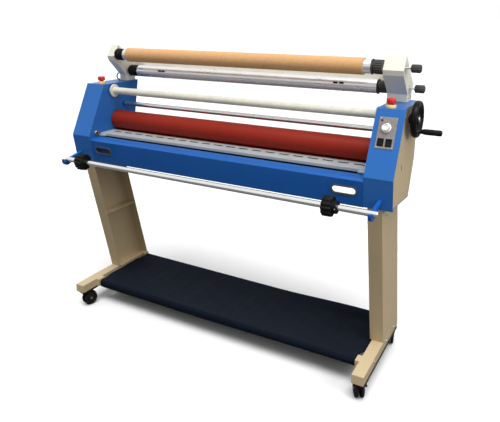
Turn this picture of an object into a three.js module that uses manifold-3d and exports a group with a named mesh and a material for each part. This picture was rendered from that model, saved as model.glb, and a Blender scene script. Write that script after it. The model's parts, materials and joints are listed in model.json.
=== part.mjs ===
// Cold roll laminator for sign and vinyl work: two cabinets carry the nip rollers over a wheeled stand.
// Millimetres, +Z up. While the parts are made, x = 0 is midway between the cabinets, y = 0 is the plane
// of the nip, with the operator on the -Y side, and z = 0 is the floor. The group at the end moves all of
// it so that the origin is at the middle of the object's footprint.
import * as THREE from "three";
import { mergeVertices } from "three/addons/utils/BufferGeometryUtils.js";
import Module from "manifold-3d";

const wasm = await Module();
wasm.setup();

// ---------------------------------------------------------------- driving dimensions
const GAP = 0.4; // clearance between pieces that touch
const innerHalf = 720; // half the distance between the cabinets' inner faces
const outerHalf = 836; // half the width over the covers' front lips
const sheetWall = 3; // folded sheet of the covers
const innerWall = 4; // cabinet wall that carries the rollers
const lipReach = 8; // the front lip stands out this far from the side panel
const lipDepth = 22; // how far the lip returns along the top and the underside
const panelWall = 4;

// Side profile of a cabinet, as [y, z] corners going round from the front foot of the cover
const frontFoot = [-191, 805];
const rearFoot = [83, 786];
const rearBelly = [146, 945];
const rearWaist = [148, 1010];
const rearTop = [182, 1185];
const frontTop = [-84, 1185];
const frontKink = [-212, 934];
const cabinetProfile = [frontFoot, rearFoot, rearBelly, rearWaist, rearTop, frontTop, frontKink];

// Nip rollers
const rollerRadius = 49;
const rollerHalf = 717;
const topRollerZ = 992;
const nipGap = 0.6;
const bottomRollerZ = topRollerZ - 2 * rollerRadius - nipGap;
const journalRadius = 15;
const journalEnd = 772;
const nipLift = 25;
const liftBlock = { inner: 741, outer: 766, halfDepth: 30, halfHeight: 34 };

// Take-up tube and idler bar behind the top roller
const takeUp = { y: -21, z: 1148, radius: 18, half: 703, flangeRadius: 33, flangeWall: 9, stub: 8 };
const idler = { y: 64, z: 1068, radius: 12, half: 716, stub: 6 };
const stubReach = 6; // how far a stub goes beyond a cabinet's inner face

// Supply shafts on the two raised brackets
const upperAxis = { y: 35, z: 1333 };
const lowerAxis = { y: 125, z: 1241.5 };
const shaftRadius = 30;
const supplyRoll = { left: -645, right: 625, inner: 31, outer: 35.5 };
const upperShaft = { hub: -723, left: -667, right: 657.5, grip: 30 };
const lowerShaft = { hub: -714, left: -652, right: 660, grip: 26.5 };
const hubRadius = 30;
const couplingFlange = { radius: 32.5, wall: 5, groove: 6 };
const axleRadius = 8.5;
const axleReach = 22;

const leftBracket = { inner: -734, outer: -780 };
const rightBracket = { inner: 705.5, outer: 791 };
const bracketProfile = [
  [105, 1185.4],
  [177, 1185.4],
  [177, 1222],
  [203, 1247],
  [60, 1378],
  [54, 1380],
  [17, 1323],
  [24, 1301],
  [107, 1217],
];
const tieBar = { y: 165, z: 1276, depth: 20, height: 28 };
const tensionKnob = { rodRadius: 4, rodStart: 770, knobStart: 815, knobEnd: 856, radius: 17 };

// Infeed table
const table = { top: 940, wall: 3, front: -132, back: -27, lip: 12 };
const tableSlot = { count: 20, pitch: 69, length: 47, width: 16, y: -66 };
const tableFoot = { inner: 676, outer: 712, reach: 16, wall: 8 };

// Apron and rear beam between the cabinets
const apronProfile = [
  [-132, 803],
  [-132, 806],
  [-187, 806],
  [-204.5, 912.6],
  [-194.9, 920],
  [-144, 921],
  [-144, 924],
  [-196, 923],
  [-208, 914],
  [-190, 803],
];
const handHole = { x: 640, z: 867, length: 98, height: 28 };
const rearBeam = { front: 60, back: 88, bottom: 800, top: 905 };

// Front rod with its two roll chucks, in the cradles of two hooks
const rod = { y: -300, z: 827, radius: 12.5, left: -796, right: 811 };
const chuck = { radius: 41, waist: 26, length: 40, collar: 18, flutes: 12 };
const chuckLeftX = -683;
const chuckRightX = 616;
const hook = { width: 14, cradle: 16.5, wall: 9, drop: 8, armTop: 849, armBottom: 830 };
const hookX = { left: -797, right: 786 };

// Stand
const leg = { inner: 734, outer: 794.5, wall: 4, ribZ: 478 };
const legFoot = 134.4;
const legTopFront = -186;
const legTopBack = 48;
const legFootFront = -34;
const legFootBack = 206;
const foot = { inner: 744, outer: 795, front: -309, back: 206.4, bottom: 93.6, top: 134 };
const footPlate = { inner: 742, outer: 798, front: -296, back: 197, bottom: 84.4, top: 93.2 };

// Sling tray under the machine
const trayEnd = 725;
const frontTube = { y: -190, z: 112, radius: 13 };
const backTube = { y: 191, z: 112, radius: 12 };
const sling = { wall: 3, sag: 14, half: 723, steps: 12, sleeve: 17 };
const trayBracket = { depth: 44, height: 40 };

// Casters
const caster = {
  x: 770.5,
  frontY: -270,
  backY: 172,
  wheelRadius: 37.5,
  wheelWall: 14,
  split: 7,
  waist: 11,
  trail: 22,
  plateWall: 4,
};

// Controls
const panelPlate = { x: 776.5, fromTop: 98, width: 71, length: 128, wall: 2 };
const dial = { x: 773.5, fromTop: 79, radius: 19, height: 17 };
const rockers = { xs: [760, 792], fromTop: 137, width: 19.5, length: 26, tilt: 8 };
const eStop = { x: 767, y: -50, travel: 5 };
const eStopBase = { radius: 21, height: 12 };
const eStopHead = { radius: 18.5, height: 19 };
const photoEye = { y: -162, z: 945, radius: 12.5, wall: 8 };
const handwheel = { y: 0, z: 1138, radius: 74, inner: 848, outer: 873, shaft: 9, shaftStart: 800 };
const grip = { dy: 30, dz: -54, radius: 12, start: 876, end: 955 };

// ---------------------------------------------------------------- solids
const round = 24; // sides of a full-size round piece
const small = 12; // sides of a small round piece

// A three.js geometry as a manifold-3d solid.
function solid(geometry) {
  const bare = geometry.index ? geometry.toNonIndexed() : geometry.clone();
  bare.deleteAttribute("normal");
  bare.deleteAttribute("uv");
  const merged = mergeVertices(bare, 1e-4);
  return new wasm.Manifold(
    new wasm.Mesh({
      numProp: 3,
      vertProperties: new Float32Array(merged.attributes.position.array),
      triVerts: new Uint32Array(merged.index.array),
    }),
  );
}

function join(...solids) {
  return solids.reduce((whole, one) => whole.add(one));
}

function box(x0, x1, y0, y1, z0, z1) {
  const shape = new THREE.BoxGeometry(Math.abs(x1 - x0), Math.abs(y1 - y0), Math.abs(z1 - z0));
  return solid(shape.translate((x0 + x1) / 2, (y0 + y1) / 2, (z0 + z1) / 2));
}

// A [y, z] outline, with optional holes, drawn out along x.
function prism(outline, x0, x1, holes = []) {
  const shape = new THREE.Shape(outline.map(([y, z]) => new THREE.Vector2(y, z)));
  shape.holes = holes.map((hole) => new THREE.Path(hole.map(([y, z]) => new THREE.Vector2(y, z))));
  const depth = Math.abs(x1 - x0);
  const geometry = new THREE.ExtrudeGeometry(shape, { depth, bevelEnabled: false, curveSegments: 12 });
  const along = new THREE.Matrix4().makeBasis(
    new THREE.Vector3(0, 1, 0),
    new THREE.Vector3(0, 0, 1),
    new THREE.Vector3(1, 0, 0),
  );
  return solid(geometry.applyMatrix4(along).translate(Math.min(x0, x1), 0, 0));
}

// A round piece on an axis along x: its profile is a list of [x, radius] steps.
function turned(steps, y, z, sides = round) {
  const first = steps[0];
  const last = steps[steps.length - 1];
  const profile = [[first[0], 0], ...steps, [last[0], 0]].map(([x, r]) => new THREE.Vector2(r, x));
  const geometry = new THREE.LatheGeometry(profile, sides);
  return solid(geometry.rotateZ(-Math.PI / 2).translate(0, y, z));
}

function rodAlongX(x0, x1, radius, y, z, sides = round) {
  const steps = [
    [Math.min(x0, x1), radius],
    [Math.max(x0, x1), radius],
  ];
  return turned(steps, y, z, sides);
}

// A round piece on an axis along z: its profile is a list of [radius, z] steps.
function turnedUp(steps, x, y, sides = round) {
  const profile = [[0, steps[0][1]], ...steps, [0, steps[steps.length - 1][1]]];
  const geometry = new THREE.LatheGeometry(
    profile.map(([r, z]) => new THREE.Vector2(r, z)),
    sides,
  );
  return solid(geometry.rotateX(Math.PI / 2).translate(x, y, 0));
}

// Points of an arc about [y, z], from one angle to another in degrees.
function arc(y, z, radius, from, to, steps) {
  return Array.from({ length: steps + 1 }, (_, i) => {
    const angle = ((from + ((to - from) * i) / steps) * Math.PI) / 180;
    return [y + radius * Math.cos(angle), z + radius * Math.sin(angle)];
  });
}

// An outline moved inwards by a wall's thickness. The outline runs anticlockwise.
function inset(outline, wall) {
  const count = outline.length;
  const edges = outline.map((point, i) => {
    const next = outline[(i + 1) % count];
    const dy = next[0] - point[0];
    const dz = next[1] - point[1];
    const long = Math.hypot(dy, dz);
    return { y: point[0] - (dz / long) * wall, z: point[1] + (dy / long) * wall, dy, dz };
  });
  return edges.map((edge, i) => {
    const before = edges[(i + count - 1) % count];
    const cross = before.dy * edge.dz - before.dz * edge.dy;
    const t = ((edge.y - before.y) * edge.dz - (edge.z - before.z) * edge.dy) / cross;
    return [before.y + before.dy * t, before.z + before.dz * t];
  });
}

// A gear-like outline of shallow flutes about [y, z].
function fluted(y, z, radius, depth, flutes) {
  const steps = flutes * 4;
  return Array.from({ length: steps }, (_, i) => {
    const reach = i % 4 < 2 ? radius : radius - depth;
    const angle = (2 * Math.PI * (i + 0.5)) / steps;
    return [y + reach * Math.cos(angle), z + reach * Math.sin(angle)];
  });
}

// ---------------------------------------------------------------- finishes
function finish(color, roughness, metalness) {
  return () => new THREE.MeshStandardMaterial({ color, roughness, metalness });
}
const coverBlue = finish(0x2f6fbe, 0.4, 0.1);
const apronBlue = finish(0x17458f, 0.4, 0.1);
const standBeige = finish(0xb5a588, 0.5, 0.1);
const bracketCream = finish(0xd9d2bf, 0.5, 0.1);
const rollerRed = finish(0x8c3327, 0.55, 0);
const kraftBrown = finish(0xd8a56e, 0.8, 0);
const tubeCream = finish(0xded6c2, 0.6, 0);
const aluminium = finish(0xc9ccd0, 0.3, 0.9);
const polished = finish(0xe3e3e3, 0.15, 1);
const mouldedBlack = finish(0x151515, 0.55, 0);
const wheelBlack = finish(0x1b1b1c, 0.6, 0);
const stripGrey = finish(0xcfccc4, 0.45, 0.2);
const plateGrey = finish(0x9a948c, 0.5, 0.4);
const dialSilver = finish(0xe8e6dc, 0.3, 0.5);
const stopRed = finish(0xd62f2c, 0.4, 0);
const stopYellow = finish(0xf0cf7a, 0.5, 0);
const sensorBrass = finish(0xa8873c, 0.4, 0.6);
const slingNavy = finish(0x141d2b, 0.9, 0);
const cableGrey = finish(0x6d746a, 0.6, 0);

const laminator = new THREE.Group();

function add(name, body, makeFinish, at = laminator) {
  const { vertProperties, numProp, triVerts } = body.getMesh();
  const count = vertProperties.length / numProp;
  const points = new Float32Array(count * 3);
  for (let i = 0; i < count; i++) {
    points.set(vertProperties.subarray(i * numProp, i * numProp + 3), i * 3);
  }
  const geometry = new THREE.BufferGeometry();
  geometry.setAttribute("position", new THREE.BufferAttribute(points, 3));
  geometry.setIndex(new THREE.BufferAttribute(new Uint32Array(triVerts), 1));
  geometry.computeVertexNormals();
  const mesh = new THREE.Mesh(geometry, makeFinish());
  mesh.name = name;
  at.add(mesh);
  return mesh;
}

const sides = [
  ["left", -1],
  ["right", 1],
];

// ---------------------------------------------------------------- cabinets
// The control face slopes from the top edge down to the kink.
const slopeDown = [frontKink[0] - frontTop[0], frontKink[1] - frontTop[1]];
const slopeLength = Math.hypot(...slopeDown);
const slopeTurn = Math.atan2(-slopeDown[1], -slopeDown[0]);
const slopePoint = (fromTop) => [
  frontTop[0] + (slopeDown[0] * fromTop) / slopeLength,
  frontTop[1] + (slopeDown[1] * fromTop) / slopeLength,
];

// A solid drawn flat (x across, y up the slope, z out of it) and laid on the control face.
function onSlope(flat, x, fromTop) {
  const [y, z] = slopePoint(fromTop);
  return flat.rotate([(slopeTurn * 180) / Math.PI, 0, 0]).translate([x, y, z]);
}

const panelEdge = outerHalf - lipReach;

// The lip runs down the control face and the lower front, and returns a little way at both ends.
function frontLip(side) {
  const [topY, topZ] = frontTop;
  const [kinkY, kinkZ] = frontKink;
  const [footY, footZ] = frontFoot;
  const zone = [
    [footY - 60, footZ - 20],
    [footY + lipDepth, footZ - 20],
    [kinkY + lipDepth, kinkZ],
    [topY + lipDepth, topZ + 20],
    [topY - 20, topZ + 20],
    [kinkY - 60, kinkZ],
  ];
  const rim = prism(cabinetProfile, side * (panelEdge - 1), side * outerHalf);
  return rim.intersect(prism(zone, side * (panelEdge - 1), side * outerHalf));
}

function cabinetShell(side) {
  const skin = prism(cabinetProfile, side * innerHalf, side * panelEdge).add(frontLip(side));
  const room = prism(
    inset(cabinetProfile, sheetWall),
    side * (innerHalf + innerWall),
    side * (outerHalf + 1),
  );
  const wallFrom = side * (innerHalf - 1);
  const wallTo = side * (innerHalf + innerWall + 1);
  const bore = (y, z, radius) => rodAlongX(wallFrom, wallTo, radius, y, z);
  const clear = journalRadius + GAP;
  const liftSlot = join(
    bore(0, topRollerZ, clear),
    bore(0, topRollerZ + nipLift, clear),
    box(wallFrom, wallTo, -clear, clear, topRollerZ, topRollerZ + nipLift),
  );
  const bores = join(
    liftSlot,
    bore(0, bottomRollerZ, clear),
    bore(takeUp.y, takeUp.z, takeUp.stub + GAP),
    bore(idler.y, idler.z, idler.stub + GAP),
  );
  return skin.subtract(room).subtract(bores);
}

function rockerWindows() {
  const halfWidth = rockers.width / 2 + 1;
  const halfLength = rockers.length / 2 + 1;
  const window = box(-halfWidth, halfWidth, -halfLength, halfLength, -8, 5);
  return join(...rockers.xs.map((x) => onSlope(window, x, rockers.fromTop)));
}

function sidePanel(side) {
  const outer = side * panelEdge;
  return prism(inset(cabinetProfile, sheetWall + GAP), outer - side * panelWall, outer);
}

for (const [name, side] of sides) {
  const shell = cabinetShell(side);
  const panel = sidePanel(side);
  const isRight = side > 0;
  const wheelBore = rodAlongX(
    panelEdge - panelWall - 1,
    panelEdge + 1,
    handwheel.shaft + GAP,
    handwheel.y,
    handwheel.z,
    small,
  );
  add(`cabinet_${name}`, isRight ? shell.subtract(rockerWindows()) : shell, coverBlue);
  add(`side_panel_${name}`, isRight ? panel.subtract(wheelBore) : panel, standBeige);
}

// ---------------------------------------------------------------- controls
function controlPlate() {
  const flat = box(
    -panelPlate.width / 2,
    panelPlate.width / 2,
    -panelPlate.length / 2,
    panelPlate.length / 2,
    GAP,
    GAP + panelPlate.wall,
  );
  return onSlope(flat, panelPlate.x, panelPlate.fromTop).subtract(rockerWindows());
}

const plateTop = GAP + panelPlate.wall;

function speedDial() {
  const base = plateTop + GAP;
  const skirt = [
    [dial.radius, base],
    [dial.radius, base + 3],
    [dial.radius - 3, base + 5],
    [dial.radius - 4, base + dial.height - 1],
    [dial.radius - 5, base + dial.height],
  ];
  const pointer = box(-1.5, 1.5, dial.radius - 10, dial.radius - 3.5, base + 4, base + dial.height + 0.8);
  return onSlope(join(turnedUp(skirt, 0, 0, 20), pointer), dial.x, dial.fromTop);
}

function rocker(x) {
  const half = rockers.length / 2;
  const drop = half * Math.tan((rockers.tilt * Math.PI) / 180);
  const outline = [
    [-half, -5],
    [half, -5],
    [half, plateTop + drop],
    [0, plateTop],
    [-half, plateTop + drop],
  ];
  const flat = prism(outline, -rockers.width / 2, rockers.width / 2);
  return onSlope(flat.rotate([-rockers.tilt, 0, 0]), x, rockers.fromTop);
}

add("control_plate", controlPlate(), plateGrey);
add("speed_dial", speedDial(), dialSilver);
add("power_rocker", rocker(rockers.xs[0]), mouldedBlack);
add("direction_rocker", rocker(rockers.xs[1]), mouldedBlack);

function stopBase(side) {
  const floor = frontTop[1] + GAP;
  const cup = [
    [eStopBase.radius, floor],
    [eStopBase.radius, floor + eStopBase.height - 2],
    [eStopBase.radius - 2, floor + eStopBase.height],
    [12, floor + eStopBase.height],
    [12, floor + 3],
  ];
  return turnedUp(cup, side * eStop.x, eStop.y, 20);
}

function stopButton(side) {
  const { radius, height } = eStopHead;
  const head = frontTop[1] + GAP + eStopBase.height + eStop.travel;
  const mushroom = [
    [11, head - 9],
    [11, head],
    [radius - 2, head],
    [radius, head + 3],
    [radius, head + height - 4],
    [radius - 4, head + height - 1],
    [radius - 9, head + height],
  ];
  return turnedUp(mushroom, side * eStop.x, eStop.y, 20);
}

for (const [name, side] of sides) {
  add(`stop_base_${name}`, stopBase(side), stopYellow);
  add(`stop_button_${name}`, stopButton(side), stopRed);
  const face = side * (innerHalf - GAP);
  const eye = turned(
    [
      [Math.min(face, face - side * photoEye.wall), photoEye.radius],
      [Math.max(face, face - side * photoEye.wall), photoEye.radius],
    ],
    photoEye.y,
    photoEye.z,
    16,
  );
  add(`photo_eye_${name}`, eye, sensorBrass);
}

// ---------------------------------------------------------------- nip rollers and their lift
function nipRoller(z) {
  const steps = [
    [-journalEnd, journalRadius],
    [-rollerHalf, journalRadius],
    [-rollerHalf, rollerRadius - 1],
    [-rollerHalf + 1, rollerRadius],
    [rollerHalf - 1, rollerRadius],
    [rollerHalf, rollerRadius - 1],
    [rollerHalf, journalRadius],
    [journalEnd, journalRadius],
  ];
  return turned(steps, 0, z, 32);
}

add("top_roller", nipRoller(topRollerZ), rollerRed);
add("bottom_roller", nipRoller(bottomRollerZ), rollerRed);

for (const [name, side] of sides) {
  const block = box(
    side * liftBlock.inner,
    side * liftBlock.outer,
    -liftBlock.halfDepth,
    liftBlock.halfDepth,
    topRollerZ - liftBlock.halfHeight,
    topRollerZ + liftBlock.halfHeight,
  );
  const reach = side * (liftBlock.outer + 1);
  const bore = rodAlongX(side * (liftBlock.inner - 1), reach, journalRadius + GAP, 0, topRollerZ);
  add(`lift_block_${name}`, block.subtract(bore), aluminium);
}

function takeUpTube() {
  const reach = innerHalf + stubReach;
  const edge = takeUp.half + takeUp.flangeWall;
  const steps = [
    [-reach, takeUp.stub],
    [-edge, takeUp.stub],
    [-edge, takeUp.flangeRadius],
    [-takeUp.half, takeUp.flangeRadius],
    [-takeUp.half, takeUp.radius],
    [takeUp.half, takeUp.radius],
    [takeUp.half, takeUp.flangeRadius],
    [edge, takeUp.flangeRadius],
    [edge, takeUp.stub],
    [reach, takeUp.stub],
  ];
  return turned(steps, takeUp.y, takeUp.z);
}

function idlerBar() {
  const reach = innerHalf + stubReach;
  const steps = [
    [-reach, idler.stub],
    [-idler.half, idler.stub],
    [-idler.half, idler.radius],
    [idler.half, idler.radius],
    [idler.half, idler.stub],
    [reach, idler.stub],
  ];
  return turned(steps, idler.y, idler.z, 16);
}

add("take_up_tube", takeUpTube(), tubeCream);
add("idler_bar", idlerBar(), polished);

// ---------------------------------------------------------------- handwheel
function wheel() {
  const { inner, outer, radius } = handwheel;
  const profile = [
    [handwheel.shaftStart, handwheel.shaft],
    [inner - 16, handwheel.shaft],
    [inner - 16, 19],
    [inner + 4, 21],
    [inner + 8, radius - 22],
    [inner, radius - 12],
    [inner + 1, radius - 4],
    [inner + 8, radius],
    [outer - 8, radius],
    [outer - 1, radius - 4],
    [outer, radius - 10],
    [outer - 3, radius - 16],
    [inner + 14, radius - 24],
    [inner + 12, 22],
    [outer - 4, 20],
    [outer - 3, 12],
  ];
  const gripY = handwheel.y + grip.dy;
  const gripZ = handwheel.z + grip.dz;
  const boss = rodAlongX(inner + 10, grip.start - GAP, 9, gripY, gripZ, small);
  return turned(profile, handwheel.y, handwheel.z, 32).add(boss);
}

function crankGrip() {
  const { start, end, radius } = grip;
  const steps = [
    [start, radius - 3],
    [start + 4, radius - 1],
    [start + 20, radius],
    [end - 6, radius],
    [end - 1.5, radius - 2],
    [end, radius - 5],
  ];
  return turned(steps, handwheel.y + grip.dy, handwheel.z + grip.dz, 20);
}

add("handwheel", wheel(), mouldedBlack);
add("crank_grip", crankGrip(), mouldedBlack);

// ---------------------------------------------------------------- supply shafts and brackets
const supplyAxes = [upperAxis, lowerAxis];

function supplyBracket({ inner, outer }, withKnobs) {
  const block = prism(bracketProfile, inner, outer);
  const away = Math.sign(outer);
  const bores = supplyAxes.map(({ y, z }) => {
    const reach = inner + away * (axleReach + GAP);
    const axleBore = rodAlongX(inner - away, reach, axleRadius + GAP, y, z, small);
    const start = tensionKnob.rodStart - GAP;
    const knobBore = rodAlongX(start, outer + 1, tensionKnob.rodRadius + GAP, y, z, small);
    return withKnobs ? axleBore.add(knobBore) : axleBore;
  });
  return block.subtract(join(...bores));
}

function tube(x0, x1, inner, outer, y, z) {
  const hole = rodAlongX(Math.min(x0, x1) - 1, Math.max(x0, x1) + 1, inner, y, z);
  return rodAlongX(x0, x1, outer, y, z).subtract(hole);
}

function leftHub(shaft, { y, z }) {
  const steps = [
    [leftBracket.inner - axleReach, axleRadius],
    [shaft.hub, axleRadius],
    [shaft.hub, hubRadius - 3],
    [shaft.hub + 4, hubRadius],
    [shaft.left - GAP - 4, hubRadius],
    [shaft.left - GAP, hubRadius - 2],
  ];
  return turned(steps, y, z);
}

function rightCoupling(shaft, { y, z }) {
  const start = shaft.right + GAP;
  const flangeEnd = start + couplingFlange.wall;
  const face = rightBracket.inner - 1;
  const flange = rodAlongX(start, flangeEnd, couplingFlange.radius, y, z);
  const grooved = prism(fluted(y, z, shaft.grip, 2, 12), flangeEnd + couplingFlange.groove, face);
  const neck = rodAlongX(start, flangeEnd + couplingFlange.groove + 1, shaft.grip - 5, y, z);
  const axle = rodAlongX(face - 5, rightBracket.inner + axleReach, axleRadius, y, z, small);
  return join(flange, neck, grooved, axle);
}

function tensionKnobSolid({ y, z }) {
  const { rodRadius, rodStart, knobStart, knobEnd, radius } = tensionKnob;
  const stem = rodAlongX(rodStart, knobStart + 4, rodRadius, y, z, small);
  const head = prism(fluted(y, z, radius, 1.4, 10), knobStart + 3, knobEnd - 3);
  const ends = turned(
    [
      [knobStart, radius - 4],
      [knobStart + 3.5, radius - 1.4],
      [knobEnd - 3.5, radius - 1.4],
      [knobEnd, radius - 4],
    ],
    y,
    z,
    20,
  );
  return join(stem, head, ends);
}

add("bracket_left", supplyBracket(leftBracket, false), bracketCream);
add("bracket_right", supplyBracket(rightBracket, true), bracketCream);
const tieHalf = tieBar.depth / 2;
const tieRise = tieBar.height / 2;
const tie = box(
  leftBracket.inner + GAP,
  rightBracket.inner - GAP,
  tieBar.y - tieHalf,
  tieBar.y + tieHalf,
  tieBar.z - tieRise,
  tieBar.z + tieRise,
);
add("tie_bar", tie, bracketCream);

const shafts = [
  ["upper", upperShaft, upperAxis],
  ["lower", lowerShaft, lowerAxis],
];
for (const [name, shaft, axis] of shafts) {
  const pipe = tube(shaft.left, shaft.right, shaftRadius - 4, shaftRadius, axis.y, axis.z);
  add(`${name}_shaft`, pipe, aluminium);
  add(`${name}_hub`, leftHub(shaft, axis), mouldedBlack);
  add(`${name}_coupling`, rightCoupling(shaft, axis), mouldedBlack);
  add(`tension_knob_${name}`, tensionKnobSolid(axis), mouldedBlack);
}
const { left: rollLeft, right: rollRight, inner: coreRadius, outer: rollRadius } = supplyRoll;
add("supply_roll", tube(rollLeft, rollRight, coreRadius, rollRadius, upperAxis.y, upperAxis.z), kraftBrown);

// A short cable loops out of the left bracket's underside and into the cabinet's top.
function bracketCable() {
  const x = -775.8;
  const route = [
    [90, 1227.5],
    [83, 1221],
    [77.5, 1211],
    [80, 1201],
    [89, 1194.5],
    [94, 1191],
    [94, 1186],
  ].map(([y, z]) => new THREE.Vector3(x, y, z));
  const section = new THREE.Shape();
  section.absarc(0, 0, 3.5, 0, 2 * Math.PI);
  const path = new THREE.CatmullRomCurve3(route);
  const along = { steps: 10, curveSegments: 4, bevelEnabled: false, extrudePath: path };
  return solid(new THREE.ExtrudeGeometry(section, along));
}
add("bracket_cable", bracketCable(), cableGrey);

// ---------------------------------------------------------------- table, apron and rear beam
function infeedTable() {
  const half = innerHalf - GAP;
  const outline = [
    [table.front, table.top - table.lip],
    [table.front + table.wall, table.top - table.lip],
    [table.front + table.wall, table.top - table.wall],
    [table.back, table.top - table.wall],
    [table.back, table.top],
    [table.front, table.top],
  ];
  let sheet = prism(outline, -half, half);
  for (let i = 0; i < tableSlot.count; i++) {
    const x = (i - (tableSlot.count - 1) / 2) * tableSlot.pitch;
    const slot = box(
      x - tableSlot.length / 2,
      x + tableSlot.length / 2,
      tableSlot.y - tableSlot.width / 2,
      tableSlot.y + tableSlot.width / 2,
      table.top - 2 * table.wall,
      table.top + 1,
    );
    sheet = sheet.subtract(slot);
  }
  const { inner, outer, reach, wall } = tableFoot;
  const low = table.top - table.lip;
  const toes = sides.map(([, side]) =>
    box(side * inner, side * outer, table.front - reach, table.front + 1, low, low + wall),
  );
  return join(sheet, ...toes);
}

function apron() {
  const half = innerHalf - GAP;
  let beam = prism(apronProfile, -half, half);
  for (const [, side] of sides) {
    const x = side * handHole.x;
    const end = handHole.height / 2;
    const reach = handHole.length / 2 - end;
    const front = -230;
    const back = -170;
    const middle = box(x - reach, x + reach, front, back, handHole.z - end, handHole.z + end);
    const ends = [-reach, reach].map((dx) => {
      const cap = new THREE.CylinderGeometry(end, end, back - front, 24);
      return solid(cap.translate(x + dx, (front + back) / 2, handHole.z));
    });
    beam = beam.subtract(join(middle, ...ends));
  }
  return beam;
}

function rearChannel() {
  const { front, back, bottom, top } = rearBeam;
  const half = innerHalf - GAP;
  const outline = [
    [front, bottom],
    [back, bottom],
    [back, top],
    [front, top],
    [front, top - sheetWall],
    [back - sheetWall, top - sheetWall],
    [back - sheetWall, bottom + sheetWall],
    [front, bottom + sheetWall],
  ];
  return prism(outline, -half, half);
}

add("infeed_table", infeedTable(), stripGrey);
add("apron_beam", apron(), apronBlue);
add("rear_beam", rearChannel(), apronBlue);

// ---------------------------------------------------------------- front rod, chucks and hooks
function rollChuck(x, out) {
  const half = chuck.length / 2;
  const body = prism(fluted(rod.y, rod.z, chuck.radius, 4, chuck.flutes), x - half, x + half);
  const reach = half + chuck.collar;
  const collar = rodAlongX(x + out * (half - 1), x + out * reach, chuck.waist, rod.y, rod.z);
  const bore = rodAlongX(x - reach - 1, x + reach + 1, rod.radius + GAP, rod.y, rod.z);
  return join(body, collar).subtract(bore);
}

function rodHook(x) {
  const floor = rod.z - rod.radius - GAP;
  const centre = floor + hook.cradle;
  const outer = hook.cradle + hook.wall;
  const faceAt = (z) => {
    const run = (z - frontFoot[1]) / (frontKink[1] - frontFoot[1]);
    return frontFoot[0] + (frontKink[0] - frontFoot[0]) * run - GAP;
  };
  const outline = [
    ...arc(rod.y, centre - hook.drop, outer, 180, 300, 10),
    [faceAt(hook.armBottom), hook.armBottom],
    [faceAt(hook.armTop), hook.armTop],
    ...arc(rod.y, centre, hook.cradle, 360, 180, 12),
    [rod.y - outer, centre],
  ];
  return prism(outline, x - hook.width / 2, x + hook.width / 2);
}

add("front_rod", rodAlongX(rod.left, rod.right, rod.radius, rod.y, rod.z), polished);
add("chuck_left", rollChuck(chuckLeftX, -1), mouldedBlack);
add("chuck_right", rollChuck(chuckRightX, 1), mouldedBlack);
add("hook_left", rodHook(hookX.left), coverBlue);
add("hook_right", rodHook(hookX.right), coverBlue);

// ---------------------------------------------------------------- stand
// Underside of the cabinets at a given y.
function cabinetFloor(y) {
  const run = (y - frontFoot[0]) / (rearFoot[0] - frontFoot[0]);
  return frontFoot[1] + (rearFoot[1] - frontFoot[1]) * run;
}

function legChannel(side) {
  const outline = [
    [legFootFront, legFoot],
    [legFootBack, legFoot],
    [legTopBack, cabinetFloor(legTopBack) - GAP],
    [legTopFront, cabinetFloor(legTopFront) - GAP],
  ];
  const block = prism(outline, side * leg.inner, side * leg.outer);
  const hollow = prism(inset(outline, leg.wall), side * (leg.inner - 1), side * (leg.outer - leg.wall));
  const rib = prism(outline, side * leg.inner, side * (leg.outer - 1)).intersect(
    box(side * leg.inner, side * leg.outer, -400, 400, leg.ribZ - leg.wall / 2, leg.ribZ + leg.wall / 2),
  );
  return block.subtract(hollow).add(rib);
}

function footRail(side) {
  const { inner, outer, front, back, bottom, top } = foot;
  const rail = box(side * inner, side * outer, front, back, bottom, top);
  const hollow = box(
    side * (inner + sheetWall),
    side * (outer - sheetWall),
    front + sheetWall,
    back - sheetWall,
    bottom - 1,
    top - sheetWall,
  );
  const half = trayBracket.depth / 2;
  const earTop = bottom + trayBracket.height;
  const ears = [frontTube, backTube].map(({ y }) =>
    box(side * (trayEnd + GAP), side * (inner + 1), y - half, Math.min(y + half, back), bottom, earTop),
  );
  return join(rail.subtract(hollow), ...ears);
}

for (const [name, side] of sides) {
  add(`leg_${name}`, legChannel(side), standBeige);
  add(`foot_${name}`, footRail(side), standBeige);
  const { inner, outer, front, back, bottom, top } = footPlate;
  add(`foot_plate_${name}`, box(side * inner, side * outer, front, back, bottom, top), mouldedBlack);
}

// ---------------------------------------------------------------- sling tray
const tubes = [
  ["front", frontTube],
  ["back", backTube],
];
for (const [name, { y, z, radius }] of tubes) {
  add(`tray_tube_${name}`, rodAlongX(-trayEnd, trayEnd, radius, y, z, 16), standBeige);
}

// The cloth hangs from sleeves round the two tubes and sags a little between them.
function traySling() {
  const run = (t) => {
    const from = [frontTube.y, frontTube.z + sling.sleeve - sling.wall];
    const to = [backTube.y, backTube.z + sling.sleeve - sling.wall];
    const drop = 4 * sling.sag * t * (1 - t);
    return [from[0] + (to[0] - from[0]) * t, from[1] + (to[1] - from[1]) * t - drop];
  };
  const lower = Array.from({ length: sling.steps + 1 }, (_, i) => run(i / sling.steps));
  const upper = lower.map(([y, z]) => [y, z + sling.wall]).reverse();
  const sheet = prism([...lower, ...upper], -sling.half, sling.half);
  const sleeves = tubes.map(([, { y, z }]) => rodAlongX(-sling.half, sling.half, sling.sleeve, y, z, 16));
  const bores = tubes.map(([, { y, z, radius }]) =>
    rodAlongX(-sling.half - 1, sling.half + 1, radius + 1, y, z, 16),
  );
  return join(sheet, ...sleeves).subtract(join(...bores));
}
add("tray_sling", traySling(), slingNavy);

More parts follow.
